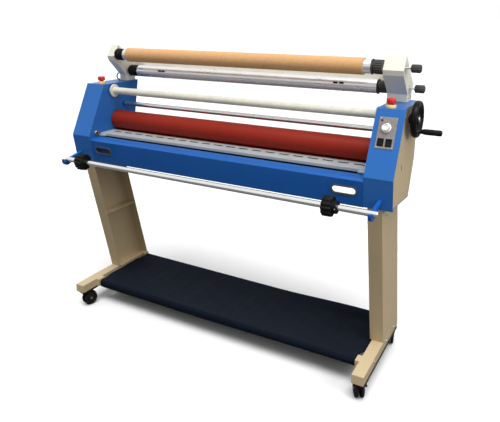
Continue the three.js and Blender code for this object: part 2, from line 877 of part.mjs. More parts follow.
// ---------------------------------------------------------------- casters
// Each caster is drawn with its swivel at the origin and its wheel trailing towards +Y.
function casterFork() {
  const top = footPlate.bottom - GAP;
  const plate = box(-24, 24, -28, 28, top - caster.plateWall, top);
  const neck = turnedUp(
    [
      [17, top - caster.plateWall - 4],
      [17, top - caster.plateWall + 1],
    ],
    0,
    0,
    16,
  );
  const half = caster.split - 1.5;
  const outline = [
    [-17, top - caster.plateWall - 2],
    [-17, 62],
    ...arc(caster.trail, caster.wheelRadius, 18, 190, 380, 8),
    [caster.trail + 26, 62],
    [17, top - caster.plateWall - 2],
  ];
  const web = prism(outline, -half, half);
  const width = caster.split + caster.wheelWall + 1;
  const reach = caster.wheelRadius + 3;
  const hood = prism(
    [
      ...arc(caster.trail, caster.wheelRadius, reach, 40, 130, 6),
      ...arc(caster.trail, caster.wheelRadius, reach - 1.8, 130, 40, 6),
    ],
    -width,
    width,
  );
  const bore = rodAlongX(-30, 30, caster.waist + GAP, caster.trail, caster.wheelRadius, 16);
  return join(plate, neck, web, hood).subtract(bore);
}

function casterWheel() {
  const { wheelRadius, wheelWall, split, waist, trail } = caster;
  const edge = split + wheelWall;
  const steps = [
    [-edge, wheelRadius - 9],
    [-edge + 5, wheelRadius - 1],
    [-edge + 8, wheelRadius],
    [-split - 2, wheelRadius],
    [-split, wheelRadius - 2],
    [-split, waist],
    [split, waist],
    [split, wheelRadius - 2],
    [split + 2, wheelRadius],
    [edge - 8, wheelRadius],
    [edge - 5, wheelRadius - 1],
    [edge, wheelRadius - 9],
  ];
  return turned(steps, trail, wheelRadius, 20);
}

const casters = [
  ["front_left", -caster.x, caster.frontY, -13],
  ["front_right", caster.x, caster.frontY, 29],
  ["back_left", -caster.x, caster.backY, 4],
  ["back_right", caster.x, caster.backY, 12],
];
for (const [name, x, y, turn] of casters) {
  add(`caster_fork_${name}`, casterFork().rotate([0, 0, turn]).translate([x, y, 0]), mouldedBlack);
  add(`caster_wheel_${name}`, casterWheel().rotate([0, 0, turn]).translate([x, y, 0]), wheelBlack);
}

// ---------------------------------------------------------------- origin at the middle of the footprint
const extent = new THREE.Box3().setFromObject(laminator);
laminator.position.set(-(extent.min.x + extent.max.x) / 2, -(extent.min.y + extent.max.y) / 2, 0);

export default laminator;
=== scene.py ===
import json
import math

import bmesh
import bpy
from mathutils import Matrix, Vector


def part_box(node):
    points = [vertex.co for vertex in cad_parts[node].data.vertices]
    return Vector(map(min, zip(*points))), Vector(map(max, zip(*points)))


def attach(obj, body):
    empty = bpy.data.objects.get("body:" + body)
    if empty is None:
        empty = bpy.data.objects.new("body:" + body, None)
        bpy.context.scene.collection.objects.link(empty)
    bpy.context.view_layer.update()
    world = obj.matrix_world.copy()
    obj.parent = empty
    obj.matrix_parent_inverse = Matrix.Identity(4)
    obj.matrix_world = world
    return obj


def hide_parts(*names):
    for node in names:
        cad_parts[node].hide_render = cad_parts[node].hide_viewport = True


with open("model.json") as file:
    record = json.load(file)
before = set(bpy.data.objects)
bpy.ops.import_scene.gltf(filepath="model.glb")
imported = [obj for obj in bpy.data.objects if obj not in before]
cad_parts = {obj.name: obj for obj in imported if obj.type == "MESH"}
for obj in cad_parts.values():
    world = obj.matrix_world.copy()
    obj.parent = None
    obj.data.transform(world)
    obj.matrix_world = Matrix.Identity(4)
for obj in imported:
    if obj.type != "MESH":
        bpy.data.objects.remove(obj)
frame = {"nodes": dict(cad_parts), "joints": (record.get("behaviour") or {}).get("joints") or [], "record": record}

# Looks of the cold roll laminator, built around its CAD frame. Places come from the frame, in metres.
# Sizes of small details are named or given in millimetres, and MM turns them into metres.
MM = 0.001
X_AXIS = Vector((1, 0, 0))
Y_AXIS = Vector((0, 1, 0))
Z_AXIS = Vector((0, 0, 1))
SIDES = (("left", -1), ("right", 1))
SHARP_ANGLE = 32
MERGE_DISTANCE = 1e-6
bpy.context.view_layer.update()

record = frame["record"]
BODY_OF = {node: body for body, nodes in record["behaviour"]["bodies"].items() for node in nodes}
JOINTS = {joint["name"]: joint for joint in frame["joints"]}
BOXES = {node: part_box(node) for node in frame["nodes"]}


def low(node):
    return BOXES[node][0]


def high(node):
    return BOXES[node][1]


def middle(node):
    return (low(node) + high(node)) / 2


def joint_centre(name):
    return Vector(JOINTS[name]["pos_m"])


# ---------------------------------------------------------------- camera
# The view is set out from the point on the floor under the middle of the nip.
under_nip = Vector((middle("infeed_table").x, middle("top_roller").y, 0))
CAMERA_OFFSET = Vector((1.3267, -2.1789, 1.5502))
CAMERA_DOWN, CAMERA_TURN = 0.2474, 0.5122

camera_data = bpy.data.cameras.new("camera")
camera_data.sensor_width = 36
camera_data.lens = 39.37
camera_data.shift_y = -0.122
camera_data.clip_end = 100
camera = bpy.data.objects.new("camera", camera_data)
camera.location = under_nip + CAMERA_OFFSET
camera.rotation_euler = (math.pi / 2 - CAMERA_DOWN, 0, CAMERA_TURN)
bpy.context.scene.collection.objects.link(camera)
bpy.context.scene.camera = camera


# ---------------------------------------------------------------- materials
class Paint:
    """A Principled material. Nodes work out its colour, roughness and bump from the piece's coordinates."""

    def __init__(
        self, name, roughness=0.4, metallic=0.0, specular=0.5, coat=0.0, sheen=0.0, coordinates="Object"
    ):
        self.material = bpy.data.materials.new(name)
        self.material.use_nodes = True
        self.nodes = self.material.node_tree.nodes
        self.links = self.material.node_tree.links
        self.shader = self.nodes["Principled BSDF"]
        self.shader.inputs["Roughness"].default_value = roughness
        self.shader.inputs["Metallic"].default_value = metallic
        self.shader.inputs["Specular IOR Level"].default_value = specular
        self.shader.inputs["Coat Weight"].default_value = coat
        self.shader.inputs["Sheen Weight"].default_value = sheen
        self.place = self.nodes.new("ShaderNodeTexCoord").outputs[coordinates]
        self.height = None

    def feed(self, socket, value):
        """Gives a socket another node's output or a fixed value."""
        if isinstance(value, bpy.types.NodeSocket):
            self.links.new(value, socket)
        else:
            socket.default_value = value

    def node(self, kind, inputs=None, **settings):
        made = self.nodes.new(kind)
        for name, value in settings.items():
            setattr(made, name, value)
        for name, value in (inputs or {}).items():
            self.feed(made.inputs[name], value)
        return made

    def stretched(self, factors):
        return self.node("ShaderNodeMapping", {"Vector": self.place, "Scale": factors}).outputs["Vector"]

    def noise(self, scale, detail, place=None):
        inputs = {"Vector": place or self.place, "Scale": scale, "Detail": detail, "Roughness": 0.55}
        return self.node("ShaderNodeTexNoise", inputs).outputs["Fac"]

    def ranged(self, value, low_in, high_in, low_out, high_out):
        inputs = {"Value": value, "From Min": low_in, "From Max": high_in}
        inputs.update({"To Min": low_out, "To Max": high_out})
        return self.node("ShaderNodeMapRange", inputs).outputs["Result"]

    def patches(self, scale, detail, low_in, high_in, most=1.0):
        """Patches of noise, from 0 where it is under low_in to most where it is over high_in."""
        return self.ranged(self.noise(scale, detail), low_in, high_in, 0.0, most)

    def shades(self, amount, colour, darker, lighter):
        """A colour between two shades of itself."""
        return self.mixed(amount, shade(colour, darker), shade(colour, lighter))

    def mixed(self, amount, first, second):
        mix = self.node("ShaderNodeMix", data_type="RGBA")
        for socket, value in ((mix.inputs[0], amount), (mix.inputs[6], first), (mix.inputs[7], second)):
            self.feed(socket, (*value, 1) if isinstance(value, tuple) else value)
        return mix.outputs[2]

    def maths(self, operation, *values):
        made = self.node("ShaderNodeMath", operation=operation)
        for socket, value in zip(made.inputs, values):
            self.feed(socket, value)
        return made.outputs[0]

    def raise_by(self, value, distance):
        """Adds a height pattern, in metres, to the bump."""
        scaled = self.maths("MULTIPLY", value, distance)
        self.height = scaled if self.height is None else self.maths("ADD", self.height, scaled)

    def roughness(self, value):
        self.links.new(value, self.shader.inputs["Roughness"])

    def finish(self, colour):
        self.links.new(colour, self.shader.inputs["Base Color"])
        if self.height is not None:
            bump = self.node("ShaderNodeBump", {"Strength": 1.0, "Distance": 1.0, "Height": self.height})
            self.links.new(bump.outputs["Normal"], self.shader.inputs["Normal"])
        return self.material

    def worn_edges(self, amount):
        """1 along sharp outer edges, broken up so that wear comes in patches."""
        rounded = self.node("ShaderNodeBevel", {"Radius": 0.0016}, samples=4).outputs["Normal"]
        true_normal = self.node("ShaderNodeNewGeometry").outputs["Normal"]
        facing = self.node("ShaderNodeVectorMath", {"Vector": rounded}, operation="DOT_PRODUCT")
        self.links.new(true_normal, facing.inputs[1])
        sharp = self.ranged(facing.outputs["Value"], 0.995, 0.90, 0.0, 1.0)
        return self.maths("MULTIPLY", sharp, self.patches(38.0, 4.0, 0.42, 0.62, amount))


def shade(colour, factor):
    return tuple(min(1.0, channel * factor) for channel in colour)


def powder_coat(name, colour, worn, roughness):
    """Sprayed and baked paint: orange-peel bump, slight mottling, dark specks and rubbed edges."""
    paint = Paint(name, specular=0.22, coat=0.08)
    paint.shader.inputs["Coat Roughness"].default_value = 0.2
    cloud = paint.patches(2.6, 5.0, 0.3, 0.7)
    base = paint.shades(cloud, colour, 0.96, 1.04)
    specks = paint.patches(210.0, 3.0, 0.66, 0.74, 0.16)
    base = paint.mixed(specks, base, shade(colour, 0.55))
    base = paint.mixed(paint.worn_edges(0.55), base, worn)
    smudge = paint.noise(7.0, 4.0)
    paint.roughness(paint.ranged(smudge, 0.3, 0.75, roughness - 0.07, roughness + 0.12))
    paint.raise_by(paint.noise(620.0, 2.0), 0.00011)
    paint.raise_by(paint.noise(18.0, 2.0), 0.00035)
    return paint.finish(base)


def moulded(name, colour, roughness=0.5, grain=1.0, specular=0.35):
    """Moulded plastic with a fine spark-eroded grain and scuffed edges."""
    paint = Paint(name, specular=specular)
    cloud = paint.patches(30.0, 4.0, 0.3, 0.7)
    base = paint.shades(cloud, colour, 0.92, 1.08)
    base = paint.mixed(paint.worn_edges(0.35), base, shade(colour, 1.9))
    paint.roughness(paint.ranged(paint.noise(45.0, 3.0), 0.3, 0.7, roughness - 0.08, roughness + 0.1))
    paint.raise_by(paint.noise(1500.0, 2.0), 0.00006 * grain)
    return paint.finish(base)


def turned_metal(name, colour, roughness, lines=1.0, stretch=(4.0, 900.0, 900.0), metallic=1.0):
    """Metal with fine lines along its length from drawing or brushing."""
    paint = Paint(name, metallic=metallic)
    streaks = paint.noise(1.0, 3.0, paint.stretched(stretch))
    tone = paint.ranged(streaks, 0.3, 0.7, 0.0, 1.0)
    base = paint.shades(tone, colour, 0.93, 1.03)
    stain = paint.patches(9.0, 5.0, 0.55, 0.8, 0.15)
    base = paint.mixed(stain, base, shade(colour, 0.8))
    smear = paint.noise(14.0, 4.0)
    paint.roughness(paint.ranged(smear, 0.3, 0.75, roughness * 0.8, roughness * 1.5))
    paint.raise_by(streaks, 0.00001 * lines)
    return paint.finish(base)


def ground_rubber(name, colour):
    """Silicone roller cover: fine grinding rings, dull bloom and faint marks along the length."""
    paint = Paint(name, specular=0.12)
    rings = paint.noise(1.0, 2.0, paint.stretched((850.0, 6.0, 6.0)))
    bloom = paint.ranged(paint.noise(5.0, 6.0, paint.stretched((0.5, 1.0, 1.0))), 0.35, 0.72, 0.0, 1.0)
    base = paint.shades(bloom, colour, 0.93, 1.06)
    specks = paint.patches(260.0, 3.0, 0.66, 0.74, 0.5)
    base = paint.mixed(specks, base, shade(colour, 1.8))
    paint.roughness(paint.ranged(bloom, 0.0, 1.0, 0.46, 0.6))
    paint.raise_by(rings, 0.00005)
    paint.raise_by(paint.noise(900.0, 2.0), 0.00003)
    return paint.finish(base)


def kraft_board(name, colour, axis_point):
    """Spiral-wound board tube: a helical seam, long fibres and darker flecks."""
    paint = Paint(name, roughness=0.82, specular=0.3)
    parts = paint.node("ShaderNodeSeparateXYZ", {"Vector": paint.place})
    across = paint.maths("SUBTRACT", parts.outputs["Y"], axis_point.y)
    upward = paint.maths("SUBTRACT", parts.outputs["Z"], axis_point.z)
    turn = paint.maths("DIVIDE", paint.maths("ARCTAN2", upward, across), 2 * math.pi)
    spiral = paint.maths("FRACT", paint.maths("ADD", paint.maths("MULTIPLY", parts.outputs["X"], 8.3), turn))
    seam = paint.maths("LESS_THAN", paint.maths("ABSOLUTE", paint.maths("SUBTRACT", spiral, 0.5)), 0.006)
    fibres = paint.noise(1.0, 4.0, paint.stretched((60.0, 420.0, 420.0)))
    base = paint.mixed(paint.ranged(fibres, 0.3, 0.7, 0.0, 1.0), shade(colour, 0.9), shade(colour, 1.08))
    flecks = paint.patches(300.0, 4.0, 0.64, 0.7, 0.45)
    base = paint.mixed(flecks, base, shade(colour, 0.6))
    base = paint.mixed(paint.maths("MULTIPLY", seam, 0.45), base, shade(colour, 0.62))
    paint.raise_by(fibres, 0.00008)
    paint.raise_by(seam, -0.0003)
    return paint.finish(base)


def woven(name, colour):
    """Close plain weave, one thread a millimetre, drawn in the cloth's own flat coordinates."""
    paint = Paint(name, roughness=0.8, specular=0.1, sheen=0.01, coordinates="UV")
    paint.shader.inputs["Sheen Roughness"].default_value = 0.5
    parts = paint.node("ShaderNodeSeparateXYZ", {"Vector": paint.place})
    thread = math.pi / (1.1 * MM)
    warp = paint.maths("SINE", paint.maths("MULTIPLY", parts.outputs["X"], thread))
    weft = paint.maths("SINE", paint.maths("MULTIPLY", parts.outputs["Y"], thread))
    crossing = paint.maths("MULTIPLY", warp, weft)
    lift = paint.maths("ABSOLUTE", crossing)
    # Thread crests lighter and the hollows between threads darker, following the bump height: painted highlight
    # and painted shade.
    base = paint.shades(lift, colour, 0.65, 1.35)
    faded = paint.patches(3.0, 5.0, 0.45, 0.8, 0.35)
    base = paint.mixed(faded, base, shade(colour, 1.8))
    lint = paint.patches(240.0, 4.0, 0.70, 0.78, 0.2)
    base = paint.mixed(lint, base, (0.07, 0.07, 0.08))
    paint.raise_by(lift, 0.00018)
    paint.raise_by(paint.noise(24.0, 4.0), 0.0012)
    return paint.finish(base)


def printed_panel(name, colour):
    """Grey printed film on a metal plate: a faint cast pattern and small rubbed spots."""
    paint = Paint(name, roughness=0.5, specular=0.35)
    cloud = paint.patches(90.0, 5.0, 0.35, 0.65)
    base = paint.shades(cloud, colour, 0.84, 1.12)
    spots = paint.patches(420.0, 3.0, 0.62, 0.70, 0.5)
    base = paint.mixed(spots, base, shade(colour, 0.6))
    base = paint.mixed(paint.worn_edges(0.7), base, shade(colour, 1.8))
    paint.roughness(paint.ranged(cloud, 0.0, 1.0, 0.4, 0.58))
    paint.raise_by(paint.noise(700.0, 2.0), 0.00004)
    return paint.finish(base)


def pale_floor(name):
    """A pale floor. It shows pale to the camera and throws less light back up than a white one would."""
    paint = Paint(name, roughness=0.75, specular=0.1)
    cloud = paint.patches(0.9, 4.0, 0.3, 0.7)
    seen = paint.mixed(cloud, (0.90, 0.90, 0.90), (0.93, 0.93, 0.93))
    direct = paint.node("ShaderNodeLightPath").outputs["Is Camera Ray"]
    paint.raise_by(paint.noise(60.0, 3.0), 0.0001)
    return paint.finish(paint.mixed(direct, (0.14, 0.14, 0.14), seen))


BLUE = (0.021, 0.135, 0.44)
# The second blue is a darker copy of the first: painted shade.
SHADED_BLUE = (0.006, 0.100, 0.39)
BEIGE = (0.545, 0.43, 0.262)
CREAM = (0.86, 0.83, 0.72)
BLACK = (0.0065, 0.0065, 0.0065)
STEEL = (0.62, 0.62, 0.61)

cover_blue = powder_coat("cover_blue", BLUE, (0.35, 0.42, 0.5), 0.32)
# A darker copy of the cover blue: painted shade on the apron, rear beam and hooks.
apron_blue = powder_coat("apron_blue", SHADED_BLUE, (0.3, 0.36, 0.45), 0.32)
stand_beige = powder_coat("stand_beige", BEIGE, (0.25, 0.22, 0.18), 0.44)
bracket_cream = powder_coat("bracket_cream", CREAM, (0.45, 0.42, 0.36), 0.42)
plate_black = powder_coat("plate_black", BLACK, (0.12, 0.11, 0.10), 0.45)
trim_grey = powder_coat("trim_grey", (0.09, 0.085, 0.08), (0.35, 0.33, 0.3), 0.40)
roller_red = ground_rubber("roller_red", (0.28, 0.022, 0.011))
kraft = kraft_board("kraft", (0.72, 0.41, 0.185), middle("supply_roll"))
tube_cream = moulded("tube_cream", (0.70, 0.685, 0.58), 0.38, 0.5)
black_plastic = moulded("black_plastic", BLACK, 0.5, 1.0, 0.12)
knob_plastic = moulded("knob_plastic", (0.045, 0.042, 0.036), 0.5, 1.0, 0.35)
gloss_black = moulded("gloss_black", (0.004, 0.004, 0.004), 0.3, 0.15, 0.12)
wheel_rubber = moulded("wheel_rubber", (0.009, 0.009, 0.009), 0.6, 1.6, 0.2)
cable_sheath = moulded("cable_sheath", (0.16, 0.18, 0.15), 0.55, 0.6)
stop_red = moulded("stop_red", (0.68, 0.018, 0.016), 0.34, 0.3)
stop_yellow = moulded("stop_yellow", (0.88, 0.62, 0.22), 0.36, 0.3)
lens_dark = moulded("lens_dark", (0.045, 0.010, 0.008), 0.12, 0.1)
# Dark marks and print, and also the painted shade in the table's slots.
dark_marks_and_shade = moulded("dark_marks_and_shade", (0.009, 0.009, 0.009), 0.6, 0.3, 0.1)
aluminium = turned_metal("aluminium", (0.86, 0.86, 0.87), 0.30, 0.5, metallic=0.85)
table_sheet = turned_metal("table_sheet", (0.43, 0.46, 0.47), 0.5, 0.6, (500.0, 5.0, 5.0), 0.2)
chrome = turned_metal("chrome", (0.88, 0.88, 0.88), 0.16, 0.2)
steel = turned_metal("steel", STEEL, 0.28, 1.0)
panel_grey = printed_panel("panel_grey", (0.25, 0.225, 0.22))
dial_silver = turned_metal("dial_silver", (0.90, 0.89, 0.83), 0.34, 0.3, (700.0, 20.0, 20.0), 0.6)
sensor_brass = turned_metal("sensor_brass", (0.62, 0.40, 0.12), 0.32, 0.5, (80.0, 80.0, 80.0))
sling_navy = woven("sling_navy", (0.0022, 0.0052, 0.0125))


# ---------------------------------------------------------------- mesh tools
def piece(name, vertices, faces, material, bevel=0.0):
    """A mesh object from points in metres, faces outward, shaded smooth but for its sharp edges."""
    mesh = bpy.data.meshes.new(name)
    mesh.from_pydata([tuple(v) for v in vertices], [], faces)
    tidy = bmesh.new()
    tidy.from_mesh(mesh)
    bmesh.ops.remove_doubles(tidy, verts=tidy.verts, dist=MERGE_DISTANCE)
    bmesh.ops.recalc_face_normals(tidy, faces=tidy.faces)
    tidy.to_mesh(mesh)
    tidy.free()
    return shown(name, mesh, material, bevel, SHARP_ANGLE)


def shown(name, mesh, material, bevel, crease):
    mesh.materials.clear()
    mesh.materials.append(material)
    mesh.polygons.foreach_set("use_smooth", [True] * len(mesh.polygons))
    made = bpy.data.objects.new(name, mesh)
    bpy.context.scene.collection.objects.link(made)
    if bevel:
        rounding = made.modifiers.new("rounding", "BEVEL")
        rounding.width = bevel * MM
        rounding.segments = 2
        rounding.limit_method = "ANGLE"
        rounding.angle_limit = math.radians(crease)
        rounding.use_clamp_overlap = True
        evening = made.modifiers.new("evening", "WEIGHTED_NORMAL")
        evening.weight = 60
    else:
        mesh.set_sharp_from_angle(angle=math.radians(crease))
    return made


def stands_for(made, *nodes):
    """made replaces these CAD nodes and moves with the first one's body."""
    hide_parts(*nodes)
    return goes_with(made, nodes[0])


def goes_with(made, node):
    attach(made, BODY_OF[node])
    return made


def softened(node, material, bevel=0.8):
    """A copy of a CAD node with its coplanar facets joined and its sharp edges rounded."""
    mesh = frame["nodes"][node].data.copy()
    tidy = bmesh.new()
    tidy.from_mesh(mesh)
    bmesh.ops.remove_doubles(tidy, verts=tidy.verts, dist=MERGE_DISTANCE)
    flat = math.radians(0.4)
    bmesh.ops.dissolve_limit(tidy, angle_limit=flat, verts=tidy.verts, edges=tidy.edges)
    tidy.to_mesh(mesh)
    tidy.free()
    return stands_for(shown(node + "_shape", mesh, material, bevel, 24), node)


def turned_to(axis):
    return X_AXIS.rotation_difference(Vector(axis)).to_matrix()


def spun(name, rings, centre, axis, material, sides=72, closed=False, lobes=None):
    """A turned piece. rings are (distance along the axis, radius) in millimetres. lobes gives (count, depth)
    of scallops cut into every ring that has a third value."""
    turn = turned_to(axis)
    vertices = []
    loops = []
    for ring in rings:
        along, radius = ring[0], ring[1]
        if radius == 0:
            loops.append([len(vertices)])
            vertices.append(centre + turn @ Vector((along, 0, 0)) * MM)
            continue
        loops.append(list(range(len(vertices), len(vertices) + sides)))
        for i in range(sides):
            angle = 2 * math.pi * i / sides
            reach = radius
            if lobes and len(ring) > 2:
                reach -= lobes[1] * (0.5 - 0.5 * math.cos(lobes[0] * angle)) ** 2
            around = Vector((along, reach * math.cos(angle), reach * math.sin(angle)))
            vertices.append(centre + turn @ around * MM)
    faces = []
    pairs = list(zip(loops, loops[1:]))
    if closed:
        pairs.append((loops[-1], loops[0]))
    for first, second in pairs:
        faces.extend(band(first, second, sides))
    if not closed:
        faces.extend([tuple(loop) for loop in (loops[0], loops[-1]) if len(loop) > 1])
    return piece(name, vertices, faces, material)


def turned_node(node, rings, centre, axis, material, sides, **more):
    """A turned piece in a CAD node's place."""
    return stands_for(spun(f"{node}_shape", rings, centre, axis, material, sides, **more), node)


def on_axis(x, node):
    """The point at x on the line along X through a node's middle."""
    return Vector((x, middle(node).y, middle(node).z))


def band(first, second, sides):
    """Faces between two rings, either of which may be a single point."""
    faces = []
    for i in range(sides):
        j = (i + 1) % sides
        if len(first) == 1:
            faces.append((first[0], second[j], second[i]))
        elif len(second) == 1:
            faces.append((first[i], first[j], second[0]))
        else:
            faces.append((first[i], first[j], second[j], second[i]))
    return faces


def slab(name, outline, centre, across, up, thickness, material, bevel=0.0, hole=None):
    """A flat piece from an outline of (across, up) points in millimetres, standing thickness mm off centre.
    hole is a second outline of as many points."""
    out = across.cross(up).normalized()
    count = len(outline)

    def placed(points, height):
        return [centre + (across * u + up * v + out * height) * MM for u, v in points]

    vertices = placed(outline, 0) + placed(outline, thickness)
    faces = [(i, (i + 1) % count, (i + 1) % count + count, i + count) for i in range(count)]
    if hole is None:
        faces += [tuple(range(count)), tuple(range(count, 2 * count))]
        return piece(name, vertices, faces, material, bevel)
    vertices += placed(hole, 0) + placed(hole, thickness)
    for i in range(count):
        j = (i + 1) % count
        faces.append((i + 2 * count, j + 2 * count, j + 3 * count, i + 3 * count))
        faces.append((i, j, j + 2 * count, i + 2 * count))
        faces.append((i + count, j + count, j + 3 * count, i + 3 * count))
    return piece(name, vertices, faces, material, bevel)


def rounded_outline(width, height, radius, steps=6):
    """Points of a rectangle with round corners, anticlockwise, about its middle."""
    points = []
    for corner, (sx, sy) in enumerate(((1, 1), (-1, 1), (-1, -1), (1, -1))):
        for i in range(steps + 1):
            angle = math.radians(90 * corner + 90 * i / steps)
            across = sx * (width / 2 - radius) + radius * math.cos(angle)
            points.append((across, sy * (height / 2 - radius) + radius * math.sin(angle)))
    return points


def joined(name, parts):
    """Several objects as one."""
    first = parts[0]
    whole = bmesh.new()
    for part in parts:
        whole.from_mesh(part.data)
    whole.to_mesh(first.data)
    whole.free()
    for part in parts[1:]:
        bpy.data.objects.remove(part)
    first.name = name
    first.data.set_sharp_from_angle(angle=math.radians(SHARP_ANGLE))
    return first


def screw_head(place, out, radius, material):
    """Button-head screw with a hexagonal socket."""
    sides = 24
    across = 0.50 * radius
    turn = turned_to(out)
    heights = (-0.5, 0.35, 0.62, 0.62, 0.12)
    reaches = (1.0, 1.0, 0.62, None, None)
    vertices = []
    for height, reach in zip(heights, reaches):
        for i in range(sides):
            angle = 2 * math.pi * i / sides
            sector = (angle % (math.pi / 3)) - math.pi / 6
            radial = across / math.cos(sector) if reach is None else reach * radius
            around = Vector((height * radius, radial * math.cos(angle), radial * math.sin(angle)))
            vertices.append(place + turn @ around * MM)
    faces = [tuple(range(sides)), tuple(range(len(vertices) - sides, len(vertices)))]
    for ring in range(len(heights) - 1):
        first = list(range(ring * sides, (ring + 1) * sides))
        second = list(range((ring + 1) * sides, (ring + 2) * sides))
        faces.extend(band(first, second, sides))
    return piece("screw", vertices, faces, material)


def screws(name, node, places, out, radius=4.5, material=None):
    heads = [screw_head(place, out, radius, material or steel) for place in places]
    return goes_with(joined(name, heads), node)


# ---------------------------------------------------------------- cabinets
def cabinets():
    for side_name, side in SIDES:
        softened(f"cabinet_{side_name}", cover_blue, 1.3)
        panel = f"side_panel_{side_name}"
        softened(panel, stand_beige, 0.6)
        lo, hi = low(panel), high(panel)
        face = hi.x if side > 0 else lo.x
        rise = 0.12 * (hi.z - lo.z)
        spots = [
            (lo.y + 62 * MM, lo.z + 40 * MM),
            (hi.y - 130 * MM, lo.z + 40 * MM),
            (lo.y + 40 * MM, lo.z + rise + 110 * MM),
            (hi.y - 66 * MM, lo.z + rise + 90 * MM),
            (hi.y - 60 * MM, lo.z + rise + 190 * MM),
            (hi.y - 36 * MM, hi.z - 28 * MM),
            (lo.y + 150 * MM, hi.z - 28 * MM),
            (under_nip.y - 40 * MM, 986 * MM),
        ]
        vent = Vector((face, under_nip.y - 64 * MM, 949 * MM))
        across = Y_AXIS * side
        shape = rounded_outline(5, 22, 2.4)
        slot = slab(f"panel_slot_{side_name}", shape, vent, across, Z_AXIS, 0.5, dark_marks_and_shade, 0.1)
        goes_with(slot, panel)
        rows = [Vector((face, y, z)) for y, z in spots]
        screws(f"side_panel_screws_{side_name}", panel, rows, X_AXIS * side, 4.0, stand_beige)
        inner = f"cabinet_{side_name}"
        wall = low(inner).x if side > 0 else high(inner).x
        bearing(f"idler_bush_{side_name}", inner, wall, side, middle("idler_bar"), 13, 7)
        bearing(f"take_up_bush_{side_name}", inner, wall, side, middle("take_up_tube"), 13, 9)
        lift_slot_trim(side_name, inner, wall, side)


def bearing(name, node, wall, side, axis_point, outer, inner):
    """A thin flanged bush on a cabinet's inner wall, round a shaft's stub."""
    rings = [(0.1, inner), (2.2, inner), (2.8, inner + 1), (2.8, outer - 1), (2.0, outer), (0.1, outer)]
    centre = Vector((wall, axis_point.y, axis_point.z))
    made = spun(name, rings, centre, X_AXIS * -side, black_plastic, 40, closed=True)
    return goes_with(made, node)


def lift_slot_trim(side_name, node, wall, side):
    """The raised rim round the slot that the top roller's journal rises in."""
    lift = JOINTS["nip_lift"]["range_m"][1] / MM
    centre = Vector((wall, middle("top_roller").y, middle("top_roller").z + lift / 2 * MM))
    outer = rounded_outline(52, 52 + lift, 25.9)
    inner = rounded_outline(34, 34 + lift, 16.9)
    across = Y_AXIS * side
    made = slab(f"lift_slot_rim_{side_name}", outer, centre, across, Z_AXIS, 2.0, plate_black, 0.5, inner)
    return goes_with(made, node)


# ---------------------------------------------------------------- controls
def slope_frame():
    """Outward direction and upward direction of the control face."""
    out = Vector(JOINTS["speed_dial_turn"]["axis"]).normalized()
    return out, out.cross(X_AXIS).normalized()


def controls():
    out, up = slope_frame()
    softened("control_plate", panel_grey, 0.5)
    plate_middle = middle("control_plate")
    corners = [
        plate_middle + X_AXIS * (sx * 31 * MM) + up * (sy * 59 * MM) + out * (1.0 * MM)
        for sx in (-1, 1)
        for sy in (-1, 1)
    ]
    screws("control_plate_screws", "control_plate", corners, out, 2.4)
    dial(out, up)
    for name in ("power_rocker", "direction_rocker"):
        softened(name, gloss_black, 0.9)
        pivot = joint_centre(name.replace("rocker", "rocker_tilt")) + out * (2.3 * MM)
        outer = rounded_outline(25.0, 31.4, 1.6, 4)
        inner = rounded_outline(20.7, 27.2, 0.8, 4)
        bezel = slab(f"{name}_bezel", outer, pivot, X_AXIS, up, 1.6, black_plastic, 0.4, inner)
        goes_with(bezel, "control_plate")
    lamp_place = joint_centre("speed_dial_turn") + up * (30 * MM) - X_AXIS * (21.5 * MM) + out * (2.3 * MM)
    lamp_rings = [(0, 4.6), (1.2, 4.6), (1.6, 4.2), (1.6, 3.4), (1.1, 3.2), (2.2, 2.2), (2.6, 0)]
    goes_with(spun("panel_lamp", lamp_rings, lamp_place, out, lens_dark, 32), "control_plate")


def dial(out, up):
    pivot = joint_centre("speed_dial_turn")
    base = 2.9
    rings = [
        (base, 0), (base, 18.6), (base + 0.4, 19.0), (base + 2.6, 19.0), (base + 3.4, 18.4),
        (base + 4.2, 16.0, True), (base + 5.4, 15.2, True), (base + 14.6, 14.6, True),
        (base + 15.8, 13.6), (base + 16.2, 12.6), (base + 15.7, 11.8), (base + 15.6, 0),
    ]
    turned_node("speed_dial", rings, pivot, out, dial_silver, 144, lobes=(36, 0.9))
    pointer_place = pivot + up * (10 * MM) + out * ((base + 15.2) * MM)
    pointer_line = rounded_outline(1.8, 8.5, 0.8, 4)
    pointer = slab("speed_dial_pointer", pointer_line, pointer_place, X_AXIS, up, 1.1, dark_marks_and_shade, 0.2)
    goes_with(pointer, "speed_dial")
    ticks = []
    tick_count = 11
    for i in range(tick_count):
        angle = math.radians(-135 + 270 * i / (tick_count - 1))
        radial = up * math.cos(angle) + X_AXIS * math.sin(angle)
        sideways = radial.cross(out)
        place = pivot + radial * (23.5 * MM) + out * (2.35 * MM)
        shape = rounded_outline(0.9, 4.0, 0.3, 3)
        ticks.append(slab("tick", shape, place, sideways, radial, 0.25, dark_marks_and_shade))
    goes_with(joined("dial_ticks", ticks), "control_plate")


def stop_buttons():
    for side_name, _ in SIDES:
        base, button = f"stop_base_{side_name}", f"stop_button_{side_name}"
        foot = Vector((middle(base).x, middle(base).y, low(base).z))
        cup = [
            (0, 0), (0, 21), (7.5, 21), (9.4, 20.2), (10.8, 18.6), (11.8, 16.0), (12.0, 13.2),
            (11.2, 12.2), (3.0, 12.0), (3.0, 0),
        ]
        turned_node(base, cup, foot, Z_AXIS, stop_yellow, 64)
        rest = Vector((foot.x, foot.y, low(button).z))
        tall = (high(button).z - low(button).z) / MM
        head = 9.0
        mushroom = [
            (0, 0), (0, 11), (head, 11), (head, 17.2), (head + 0.7, 18.3), (head + 2.2, 18.5),
            (tall - 4.4, 18.5, True), (tall - 2.4, 18.0, True), (tall - 0.9, 16.6, True),
            (tall - 0.2, 14.4), (tall, 9.0), (tall, 0),
        ]
        turned_node(button, mushroom, rest, Z_AXIS, stop_red, 96, lobes=(3, 0.7))


